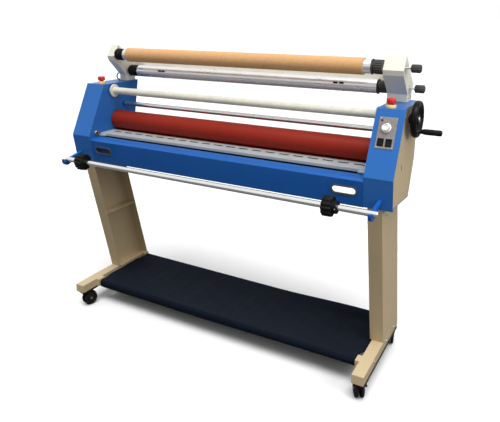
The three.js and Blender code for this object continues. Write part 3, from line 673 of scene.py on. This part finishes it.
def photo_eyes():
    for side_name, side in SIDES:
        node = f"photo_eye_{side_name}"
        wall = high(node).x if side > 0 else low(node).x
        centre = on_axis(wall, node)
        rings = [
            (0, 0), (0, 12.2), (2.5, 12.4), (3.2, 11.4), (6.6, 11.2), (8.0, 10.4), (8.0, 7.6), (6.4, 7.2),
            (6.4, 0),
        ]
        turned_node(node, rings, centre, X_AXIS * -side, sensor_brass, 56)
        lens = [(6.3, 0), (6.3, 6.9), (6.9, 6.6), (7.5, 4.0), (7.7, 0)]
        goes_with(spun(f"{node}_lens", lens, centre, X_AXIS * -side, lens_dark, 40), node)


# ---------------------------------------------------------------- rollers
def length_along_x(node):
    return (high(node).x - low(node).x) / MM


def radius_of(node):
    return (high(node).z - low(node).z) / 2 / MM


def mirrored(half_profile):
    """A profile for both ends from one listed outwards from the middle."""
    left = [(-along, *rest) for along, *rest in reversed(half_profile)]
    return left + [tuple(ring) for ring in half_profile]


def nip_rollers():
    for node in ("top_roller", "bottom_roller"):
        body_radius = radius_of(node)
        half = length_along_x(node) / 2
        cover = 717.0
        sleeve = [
            (-cover + 3, 44), (-cover, body_radius - 1.6), (-cover + 0.5, body_radius - 0.5),
            (-cover + 1.8, body_radius), (0, body_radius), (cover - 1.8, body_radius),
            (cover - 0.5, body_radius - 0.5), (cover, body_radius - 1.6), (cover - 3, 44),
        ]
        stands_for(spun(f"{node}_cover", sleeve, middle(node), X_AXIS, roller_red, 112), node)
        core = mirrored(
            [
                (cover - 3.2, 43.8), (cover - 1.2, 43.2), (cover - 1.2, 22), (cover + 1.0, 21),
                (cover + 1.0, 15), (half - 1, 15), (half, 14),
            ]
        )
        goes_with(spun(f"{node}_core", core, middle(node), X_AXIS, steel, 64), node)


def guide_rollers():
    half = length_along_x("take_up_tube") / 2
    tube = mirrored(
        [
            (690, 18.0), (702.5, 18.0), (703.2, 20.0), (703.2, 32.2), (704.2, 33.0), (710.8, 33.0),
            (711.8, 32.2), (711.9, 12.0), (712.0, 8.0), (half, 8.0),
        ]
    )
    turned_node("take_up_tube", tube, middle("take_up_tube"), X_AXIS, tube_cream, 88)
    half = length_along_x("idler_bar") / 2
    bar = mirrored([(712, 12.0), (714.6, 12.0), (716, 10.8), (716.0, 6.0), (half - 0.5, 6.0), (half, 5.5)])
    turned_node("idler_bar", bar, middle("idler_bar"), X_AXIS, chrome, 64)
    for side_name, _ in SIDES:
        softened(f"lift_block_{side_name}", steel, 1.5)


def handwheel():
    node = "handwheel"
    lo, hi = BOXES[node]
    centre = Vector((lo.x, joint_centre("handwheel_turn").y, joint_centre("handwheel_turn").z))
    radius = (hi.y - lo.y) / 2 / MM
    inner = 48.0
    outer = 73.0
    rings = [
        (0, 0), (0, 9), (inner - 16, 9), (inner - 16, 18), (inner - 15, 19), (inner + 3, 21),
        (inner + 6, 30), (inner + 8, radius - 27), (inner + 4, radius - 22),
        (inner + 0.8, radius - 17), (inner, radius - 10), (inner + 2, radius - 3.5),
        (inner + 6, radius - 0.8), (inner + 11, radius), (outer - 8, radius - 0.2),
        (outer - 3, radius - 2.2), (outer - 0.4, radius - 6), (outer, radius - 10),
        (outer - 1, radius - 17), (outer - 5, radius - 22), (inner + 14, radius - 27),
        (inner + 12, 30), (inner + 14, 22), (outer - 5, 20), (outer - 4, 18.6), (outer - 4, 0),
    ]
    turned_node(node, rings, centre, X_AXIS, gloss_black, 112)
    nut = [
        (outer - 4.2, 0), (outer - 4.2, 11), (outer - 3.6, 11), (outer - 1.2, 9.6), (outer - 0.6, 6),
        (outer - 0.4, 0),
    ]
    goes_with(spun("handwheel_nut", nut, centre, X_AXIS, steel, 48), node)
    grip_node = "crank_grip"
    start = on_axis(low(grip_node).x, grip_node)
    length = length_along_x(grip_node)
    boss = [(-19, 0), (-19, 9.6), (-2.2, 9.0), (-0.8, 8.4), (-0.8, 0)]
    goes_with(spun("grip_boss", boss, start, X_AXIS, gloss_black, 48), node)
    handle = [
        (0, 0), (0, 8.6), (1.2, 9.4), (4, 10.4), (10, 11.3), (22, 12.0), (length - 8, 12.0),
        (length - 4, 11.5), (length - 1.4, 9.8), (length - 0.2, 7.0), (length, 4.6),
        (length - 1.0, 3.6), (length - 1.2, 0),
    ]
    turned_node(grip_node, handle, start, X_AXIS, black_plastic, 64)


# ---------------------------------------------------------------- supply shafts
def brackets():
    for side_name, side in SIDES:
        node = f"bracket_{side_name}"
        softened(node, bracket_cream, 1.4)
        lo, hi = BOXES[node]
        face = hi.x if side > 0 else lo.x
        places = [Vector((face, hi.y - back * MM, lo.z + 18 * MM)) for back in (50, 82)]
        screws(f"bracket_screws_{side_name}", node, places, X_AXIS * side, 5.0)
    softened("tie_bar", bracket_cream, 1.0)


def shaft_outline(radius, groove_angles, groove_width, groove_depth):
    """Section of a tube with narrow grooves cut into its outside, as (y, z) in millimetres."""
    steps = 96
    points = []
    half = groove_width / radius / 2
    for i in range(steps):
        angle = 2 * math.pi * i / steps
        if all(abs(wrapped(angle - groove)) > half * 1.6 for groove in groove_angles):
            points.append((angle, radius))
    for groove in groove_angles:
        floor_reach = radius - groove_depth
        for offset, reach in ((-1, radius), (-0.9, floor_reach), (0.9, floor_reach), (1, radius)):
            offset *= half
            points.append(((groove + offset) % (2 * math.pi), reach))
    points.sort()
    return [(r * math.cos(a), r * math.sin(a)) for a, r in points]


def wrapped(angle):
    return (angle + math.pi) % (2 * math.pi) - math.pi


def along_x_prism(name, outline, start, length, centre, material, bevel=0.0):
    """An outline of (y, z) in millimetres drawn out along +X from start."""
    base = Vector((start, centre.y, centre.z))
    return slab(name, outline, base, Y_AXIS, Z_AXIS, length, material, bevel)


GRIP_PLACES = {"upper": (-507, -482, 466, 492), "lower": (-507, -484, 466, 494)}


def supply_shafts():
    facing_operator = math.pi - math.radians(16)
    groove_angles = [facing_operator + 2 * math.pi * i / 3 for i in range(3)]
    groove_angles = [angle % (2 * math.pi) for angle in groove_angles]
    for name in ("upper", "lower"):
        node = f"{name}_shaft"
        lo = low(node)
        radius = radius_of(node)
        outline = shaft_outline(radius, groove_angles, 3.6, 2.2)
        length = length_along_x(node)
        tube = along_x_prism(f"{node}_shape", outline, lo.x, length, middle(node), aluminium)
        stands_for(tube, node)
        grips = []
        for anchor in GRIP_PLACES[name]:
            for angle in groove_angles:
                radial = Vector((0, math.cos(angle), math.sin(angle)))
                place = on_axis(under_nip.x + (anchor + 11) * MM, node)
                place += radial * ((radius - 1.2) * MM)
                sideways = radial.cross(X_AXIS)
                pad = rounded_outline(21, 8.5, 3.6, 5)
                grips.append(slab("grip", pad, place, X_AXIS, sideways, 2.6, black_plastic, 0.0))
        goes_with(joined(f"{name}_shaft_grips", grips), node)
        end_fittings(name)
    roll()


AXLE_LENGTH = {"upper": 33.0, "lower": 42.0}
GRIP_RADIUS = {"upper": 30.0, "lower": 26.5}


def end_fittings(name):
    shaft, hub, coupling = f"{name}_shaft", f"{name}_hub", f"{name}_coupling"
    centre = on_axis(low(hub).x, shaft)
    length = length_along_x(hub)
    outer = radius_of(hub)
    axle, waist = AXLE_LENGTH[name], 0.62 * length
    hub_rings = [
        (0, 0), (0, 7.8), (0.8, 8.5), (axle, 8.5), (axle, outer - 3.4), (axle + 0.6, outer - 2.6),
        (axle + 4.4, outer - 0.4), (axle + 6, outer), (waist + 14, outer), (waist + 14.6, outer - 1.2),
        (waist + 17.0, outer - 1.2), (waist + 17.6, outer), (length - 3, outer),
        (length - 0.8, outer - 1.0), (length, outer - 2.4), (length, 0),
    ]
    turned_node(hub, hub_rings, centre, X_AXIS, black_plastic, 80)
    start = Vector((low(coupling).x, centre.y, centre.z))
    length = length_along_x(coupling)
    face = length - 23.0
    grip = GRIP_RADIUS[name]
    rings = [
        (0, 0), (0, 31.6), (0.9, 32.5), (4.1, 32.5), (5.0, 31.6), (5.0, grip - 4.6),
        (10.8, grip - 5.0), (11.0, grip - 1.4, True), (12.2, grip, True), (face - 1.4, grip, True),
        (face - 0.2, grip - 1.2, True), (face, grip - 8), (face, 8.5), (length - 1, 8.5),
        (length, 7.6), (length, 0),
    ]
    turned_node(coupling, rings, start, X_AXIS, knob_plastic, 144, lobes=(18, 2.4))
    knob = f"tension_knob_{name}"
    start = on_axis(low(knob).x, knob)
    length = length_along_x(knob)
    head = 45.0
    stem = [(0, 0), (0, 3.4), (0.8, 4.0), (head + 2, 4.0), (head + 2, 0)]
    goes_with(spun(f"{knob}_stem", stem, start, X_AXIS, steel, 40), knob)
    cap = [
        (head, 0), (head, 10.6), (head + 0.8, 12.2), (head + 2.6, 14.2), (head + 3.4, 16.2, True),
        (head + 5.0, 17.0, True), (length - 4.6, 17.0, True), (length - 2.8, 16.0, True),
        (length - 1.2, 13.6), (length, 11.4), (length - 0.2, 7.2), (length - 1.4, 6.4),
        (length - 1.4, 0),
    ]
    turned_node(knob, cap, start, X_AXIS, knob_plastic, 120, lobes=(15, 1.7))


def roll():
    node = "supply_roll"
    half = length_along_x(node) / 2
    inner, outer = 31.0, radius_of(node)
    rings = [
        (-half + 0.4, inner), (-half, inner + 0.6), (-half, outer - 0.7), (-half + 0.7, outer),
        (0, outer), (half - 0.7, outer), (half, outer - 0.7), (half, inner + 0.6), (half - 0.4, inner),
        (0, inner),
    ]
    turned_node(node, rings, middle(node), X_AXIS, kraft, 112, closed=True)


def bracket_cable():
    """The short cable from the left bracket's underside to the cabinet's top, on the CAD tube's route."""
    route = [
        (90, 1227.5), (83, 1221), (77.5, 1211), (80, 1201), (89, 1194.5), (94, 1191), (94, 1186),
    ]
    x = middle("bracket_cable").x
    points = [Vector((x, under_nip.y + y * MM, z * MM)) for y, z in route]
    smooth = []
    steps = 5
    padded = [points[0] * 2 - points[1], *points, points[-1] * 2 - points[-2]]
    for a, b, c, d in zip(padded, padded[1:], padded[2:], padded[3:]):
        for i in range(steps):
            t = i / steps
            square, cube = (a * 2 - b * 5 + c * 4 - d) * t * t, (b * 3 - a - c * 3 + d) * t**3
            smooth.append(((b * 2) + (c - a) * t + square + cube) / 2)
    smooth.append(points[-1])
    curve = bpy.data.curves.new("bracket_cable_shape", "CURVE")
    curve.dimensions = "3D"
    curve.bevel_depth = 3.4 * MM
    curve.bevel_resolution = 6
    curve.use_fill_caps = True
    spline = curve.splines.new("POLY")
    spline.points.add(len(smooth) - 1)
    for point, place in zip(spline.points, smooth):
        point.co = (*place, 1)
    made = bpy.data.objects.new("bracket_cable_shape", curve)
    bpy.context.scene.collection.objects.link(made)
    curve.materials.append(cable_sheath)
    stands_for(made, "bracket_cable")


# ---------------------------------------------------------------- table, apron and beams
REAR_SCREWS = (-690, -345, 0, 345, 690)
HAND_HOLE_REACH = 640.0


def table_and_beams():
    softened("infeed_table", table_sheet, 0.5)
    # A black angle under the table and black pieces in its slots: painted shade.
    slot_shade_backing()
    # The apron, rear beam and hooks take the darker copy of the cover blue: painted shade.
    softened("apron_beam", apron_blue, 1.2)
    softened("rear_beam", apron_blue, 1.0)
    lo = low("apron_beam")
    bottom, kink = Vector((0, 18 * MM, 0)), Vector((0, 0, 111 * MM))
    lean = (kink - bottom).normalized()
    for side_name, side in SIDES:
        place = Vector((under_nip.x + side * HAND_HOLE_REACH * MM, lo.y + 7.2 * MM, lo.z + 64 * MM))
        outer = rounded_outline(112, 42, 20.9, 10)
        inner = rounded_outline(97, 27, 13.4, 10)
        trim = slab(f"hand_hole_trim_{side_name}", outer, place, X_AXIS, lean, 2.4, trim_grey, 0.8, inner)
        goes_with(trim, "apron_beam")
    lo, hi = BOXES["rear_beam"]
    half_way_up = (lo.z + hi.z) / 2
    places = [Vector((under_nip.x + x * MM, hi.y, half_way_up)) for x in REAR_SCREWS]
    screws("rear_beam_screws", "rear_beam", places, Y_AXIS, 5.0)


SLOT_COUNT, SLOT_PITCH, SLOT_LINE = 20, 69.0, -66.0


def slot_shade_backing():
    """A thin black angle under the table and black pieces in its slots, just below its face: painted shade,
    standing for the shade under the table.
    """
    front = (low("infeed_table").y - under_nip.y) / MM + 16 + 3.6
    top = high("infeed_table").z / MM - 3.3
    outline = [
        (front, top - 28), (front + 1.5, top - 28), (front + 1.5, top - 1.5), (front + 86, top - 1.5),
        (front + 86, top), (front, top),
    ]
    start, end = low("infeed_table").x + 3 * MM, high("infeed_table").x - 3 * MM
    centre = Vector((0, under_nip.y, 0))
    made = along_x_prism("slot_shade_backing", outline, start, (end - start) / MM, centre, plate_black, 0.2)
    goes_with(made, "infeed_table")
    slot_shades = []
    # Black pieces in the table's slots: painted shade.
    for i in range(SLOT_COUNT):
        x = under_nip.x + (i - (SLOT_COUNT - 1) / 2) * SLOT_PITCH * MM
        place = Vector((x, under_nip.y + SLOT_LINE * MM, high("infeed_table").z - 3.2 * MM))
        shape = rounded_outline(46.6, 15.6, 0.6, 3)
        slot_shades.append(slab("slot_shade", shape, place, X_AXIS, Y_AXIS, 2.8, dark_marks_and_shade))
    goes_with(joined("table_slot_shades", slot_shades), "infeed_table")


# ---------------------------------------------------------------- front rod
def front_rod():
    node = "front_rod"
    half = length_along_x(node) / 2
    radius = radius_of(node)
    bar = mirrored([(0, radius), (half - 2, radius), (half, radius - 2)])
    turned_node(node, bar, middle(node), X_AXIS, chrome, 72)
    for side_name, side in SIDES:
        chuck(f"chuck_{side_name}", side, radius)
        softened(f"hook_{side_name}", apron_blue, 1.2)


def chuck(node, side, rod_radius):
    """A lobed clamping knob with a stepped collar and a set screw."""
    start_x = low(node).x if side > 0 else high(node).x
    centre = on_axis(start_x, "front_rod")
    bore = rod_radius + 0.4
    outer = radius_of(node)
    rings = [
        (1.2, bore), (0.4, bore + 1), (0.4, outer - 16), (2.6, outer - 14), (2.0, outer - 7),
        (0.6, outer - 6, True), (0.0, outer - 3.4, True), (1.4, outer - 1.0, True), (4.0, outer, True),
        (36.0, outer, True), (38.6, outer - 1.0, True), (40.0, outer - 3.4, True),
        (40.0, outer - 9, True), (39.4, 27), (40.6, 26), (48.0, 26), (49.0, 24.6), (50.4, 24.6),
        (51.4, 26), (56.4, 26), (58.0, 24.6), (58.0, bore + 1), (57.2, bore),
    ]
    turned_node(node, rings, centre, X_AXIS * side, black_plastic, 168, closed=True, lobes=(12, 4.6))
    place = centre + X_AXIS * (side * 54 * MM) - Y_AXIS * (26 * MM)
    screws(f"{node}_set_screw", node, [place], -Y_AXIS, 2.6)


# ---------------------------------------------------------------- stand
FOOT_BOLTS, LEG_BOLTS = (-156, 20, 150), (-120, -10)


def stand():
    for side_name, side in SIDES:
        leg, foot, plate = f"leg_{side_name}", f"foot_{side_name}", f"foot_plate_{side_name}"
        softened(leg, stand_beige, 1.4)
        softened(foot, stand_beige, 1.2)
        softened(plate, plate_black, 0.8)
        lo, hi = low(foot), high(foot)
        face = hi.x if side > 0 else lo.x
        half_way_up = lo.z + 20 * MM
        places = [Vector((face, under_nip.y + y * MM, half_way_up)) for y in FOOT_BOLTS]
        screws(f"foot_bolts_{side_name}", foot, places, X_AXIS * side, 7.0)
        leg_face = high(leg).x if side > 0 else low(leg).x
        below_top = high(leg).z - 40 * MM
        top_places = [Vector((leg_face, under_nip.y + y * MM, below_top)) for y in LEG_BOLTS]
        screws(f"leg_bolts_{side_name}", leg, top_places, X_AXIS * side, 6.0)
    for where in ("front", "back"):
        node = f"tray_tube_{where}"
        half = length_along_x(node) / 2
        radius = radius_of(node)
        tube = mirrored([(0, radius), (half - 0.8, radius), (half, radius - 0.8)])
        turned_node(node, tube, middle(node), X_AXIS, stand_beige, 56)


def caster(place):
    fork, wheel = f"caster_fork_{place}", f"caster_wheel_{place}"
    softened(fork, black_plastic, 0.7)
    pivot = joint_centre(f"caster_roll_{place}")
    axle = Vector(JOINTS[f"caster_roll_{place}"]["axis"])
    tread = 37.5
    halves = []
    for way in (-1, 1):
        rings = [
            (7.0, 11.5), (7.0, 26.0), (8.0, 27.0), (7.4, tread - 2.4), (8.6, tread - 0.6),
            (10.4, tread), (14.0, tread), (16.8, tread - 1.2), (19.0, tread - 4.4),
            (20.4, tread - 9.0), (19.6, tread - 10.2), (18.2, tread - 11.0), (17.6, 18.0),
            (19.0, 16.0), (20.6, 13.0), (20.8, 9.0), (20.0, 7.4), (19.4, 5.0), (7.0, 5.0),
        ]
        halves.append(spun("half", rings, pivot, axle * way, wheel_rubber, 80, closed=True))
    axle_rings = mirrored([(0, 5.0), (19.6, 5.0), (21.0, 4.2), (21.2, 3.0)])
    halves.append(spun("axle", axle_rings, pivot, axle, wheel_rubber, 40))
    stands_for(joined(f"{wheel}_shape", halves), wheel)
    caps = []
    for way in (-1, 1):
        cap = [(18.6, 0), (18.6, 7.2), (20.4, 6.6), (21.4, 4.0), (21.6, 0)]
        caps.append(spun("cap", cap, pivot, axle * way, steel, 40))
    goes_with(joined(f"{wheel}_caps", caps), wheel)
    swivel = joint_centre(f"caster_swivel_{place}")
    top = high(fork).z
    bolts = [
        Vector((swivel.x, swivel.y, top - 4.1 * MM)) + turn @ Vector((dx * MM, dy * MM, 0))
        for turn in [Matrix.Rotation(math.atan2(axle.y, axle.x), 3, "Z")]
        for dx in (-19, 19)
        for dy in (-23, 23)
    ]
    screws(f"caster_bolts_{place}", fork, bolts, -Z_AXIS, 3.4)


# ---------------------------------------------------------------- sling tray
def smooth_step(value):
    value = min(1.0, max(0.0, value))
    return value * value * (3 - 2 * value)


SLING_HEM = 46.0
SLING_COLUMNS = 180
WRAP_STEPS, SPAN_STEPS, HEM_STEPS = 14, 46, 8
SIDE_EASE = 17.0
SLEEVE_ROOM = 2.0


def sling_section(x, half, span, drop_z, front_radius, back_radius):
    """(y, z) points in millimetres from the front tube's axis, from the front hem to the back hem."""
    share = (x + half) / (2 * half)
    droop = 14.0 - 11.0 * smooth_step((share - 0.35) / 0.6)
    rise = 13.0 * smooth_step((share - 0.62) / 0.3) * (1 - 0.55 * smooth_step((share - 0.95) / 0.05))
    ripple = 1.4 * math.sin(0.021 * x + 1.3) + 0.9 * math.sin(0.047 * x + 0.4) + 0.5 * math.sin(0.11 * x)
    sag = 13.0 + 3.0 * math.sin(0.0042 * x + 0.8) + ripple

    def surface(y):
        return span_height(y, span, front_radius, drop_z + back_radius, sag)

    points = []
    for i in range(HEM_STEPS):
        t = i / HEM_STEPS
        y = SLING_HEM * (1 - t)
        low_edge = surface(y) - 1.8 - (front_radius * 2 + droop - 3.0) * smooth_step(t) * 0.92
        points.append((y, low_edge))
    for i in range(WRAP_STEPS + 1):
        angle = math.radians(270 - 180 * i / WRAP_STEPS)
        stretch = 1.0 + (droop / front_radius if math.sin(angle) < 0 else 0.0)
        points.append((front_radius * math.cos(angle), front_radius * math.sin(angle) * stretch))
    for i in range(1, SPAN_STEPS):
        t = i / SPAN_STEPS
        y = span * t
        wave = 0.8 * math.sin(0.035 * x + 0.06 * y) * math.sin(math.pi * t)
        lift = rise * smooth_step((t - 0.78) / 0.22)
        points.append((y, surface(y) + wave + lift))
    for i in range(WRAP_STEPS + 1):
        angle = math.radians(90 - 180 * i / WRAP_STEPS)
        stretch = 1.0 + (rise / back_radius if math.sin(angle) > 0 else 0.12)
        y = span + back_radius * math.cos(angle)
        points.append((y, drop_z + back_radius * math.sin(angle) * stretch))
    for i in range(1, HEM_STEPS + 1):
        t = i / HEM_STEPS
        y = span - SLING_HEM * t
        points.append((y, surface(y) - 1.8 - (back_radius * 2.1) * (1 - smooth_step(t))))
    return points


def sling_column(x, points, half, span, front):
    """A section's points in place, eased outwards at the open sides between the tubes."""
    open_from, open_to = 30.0, span - 30.0
    ease = SIDE_EASE * smooth_step((abs(x) / half - 0.94) / 0.06) * math.copysign(1, x)
    column = []
    for index, (y, z) in enumerate(points):
        in_span = HEM_STEPS + WRAP_STEPS < index < len(points) - HEM_STEPS - WRAP_STEPS
        spread = smooth_step((y - open_from) / 60) * smooth_step((open_to - y) / 60) if in_span else 0.0
        across = middle("tray_sling").x + (x + ease * spread) * MM
        column.append(Vector((across, front.y + y * MM, front.z + z * MM)))
    return column


def sling():
    """One sheet: a sewn sleeve round each tube and a loose span between them."""
    half = length_along_x("tray_sling") / 2
    front, back = middle("tray_tube_front"), middle("tray_tube_back")
    front_radius = radius_of("tray_tube_front") + SLEEVE_ROOM
    back_radius = radius_of("tray_tube_back") + SLEEVE_ROOM
    span = (back.y - front.y) / MM
    drop_z = (back.z - front.z) / MM
    grid, flat = [], []
    for i in range(SLING_COLUMNS + 1):
        x = -half + 2 * half * i / SLING_COLUMNS
        points = sling_section(x, half, span, drop_z, front_radius, back_radius)
        grid.append(sling_column(x, points, half, span, front))
        run = [0.0]
        for a, b in zip(points, points[1:]):
            run.append(run[-1] + math.dist(a, b) * MM)
        flat.append(run)
    rows = len(grid[0])
    vertices = [v for column in grid for v in column]
    faces = [
        (i * rows + j, (i + 1) * rows + j, (i + 1) * rows + j + 1, i * rows + j + 1)
        for i in range(SLING_COLUMNS)
        for j in range(rows - 1)
    ]
    mesh = bpy.data.meshes.new("tray_sling_cloth")
    mesh.from_pydata([tuple(v) for v in vertices], [], faces)
    layer = mesh.uv_layers.new(name="cloth")
    for loop in mesh.loops:
        column, row = divmod(loop.vertex_index, rows)
        layer.data[loop.index].uv = (2 * half * MM * column / SLING_COLUMNS, flat[column][row])
    cloth = shown("tray_sling_cloth", mesh, sling_navy, 0.0, 180)
    thickness = cloth.modifiers.new("thickness", "SOLIDIFY")
    thickness.thickness = 1.0 * MM
    thickness.offset = 0
    stands_for(cloth, "tray_sling")


def span_height(y, span, front_top, back_top, sag):
    t = y / span
    return front_top + (back_top - front_top) * t - 4 * sag * t * (1 - t)


# ---------------------------------------------------------------- studio
def studio():
    floor_size = 200.0
    floor = piece(
        "floor",
        [Vector((x, y, -0.0005)) for x, y in ((-1, -1), (1, -1), (1, 1), (-1, 1))],
        [(0, 1, 2, 3)],
        pale_floor("pale_floor"),
    )
    floor.scale = (floor_size, floor_size, 1)
    sky()
    lamps()
    bpy.context.scene.view_settings.view_transform = "Standard"


def sky():
    """White to the camera. It lights from overhead, dim at the horizon, and metals mirror pale walls."""
    world = bpy.data.worlds.new("studio")
    world.use_nodes = True
    bpy.context.scene.world = world
    nodes, links = world.node_tree.nodes, world.node_tree.links
    direction = nodes.new("ShaderNodeTexCoord").outputs["Generated"]
    parts = nodes.new("ShaderNodeSeparateXYZ")
    links.new(direction, parts.inputs[0])

    def by_height(full_at, at_horizon, overhead):
        made = nodes.new("ShaderNodeMapRange")
        links.new(parts.outputs["Z"], made.inputs["Value"])
        for socket, value in (("From Max", full_at), ("To Min", at_horizon), ("To Max", overhead)):
            made.inputs[socket].default_value = value
        return made.outputs["Result"]

    rays = nodes.new("ShaderNodeLightPath")
    lit = nodes.new("ShaderNodeMix")
    links.new(rays.outputs["Is Glossy Ray"], lit.inputs[0])
    links.new(by_height(1.0, 0.10, 0.85), lit.inputs[2])
    links.new(by_height(0.5, 0.72, 0.95), lit.inputs[3])
    seen = nodes.new("ShaderNodeMix")
    links.new(rays.outputs["Is Camera Ray"], seen.inputs[0])
    links.new(lit.outputs[0], seen.inputs[2])
    seen.inputs[3].default_value = 1.0
    background = nodes["Background"]
    background.inputs["Color"].default_value = (1, 1, 1, 1)
    links.new(seen.outputs[0], background.inputs["Strength"])


def lamps():
    key = bpy.data.lights.new("key", "SUN")
    key.energy = 2.4
    key.angle = math.radians(34)
    point_lamp("key", key, Vector((0.7, -1.6, 5.0)), Vector((0, 0, 0)))
    right = bpy.data.lights.new("right", "AREA")
    right.size = 1.4
    right.energy = 34
    point_lamp("right", right, Vector((3.0, -0.9, 2.0)), Vector((0.8, 0, 1.0)))


def point_lamp(name, data, place, target):
    lamp = bpy.data.objects.new(name, data)
    lamp.location = place
    lamp.rotation_euler = (target - place).to_track_quat("-Z", "Y").to_euler()
    bpy.context.scene.collection.objects.link(lamp)


cabinets()
controls()
stop_buttons()
photo_eyes()
nip_rollers()
guide_rollers()
handwheel()
brackets()
supply_shafts()
bracket_cable()
table_and_beams()
front_rod()
stand()
for place_name in ("front_left", "front_right", "back_left", "back_right"):
    caster(place_name)
sling()
studio()
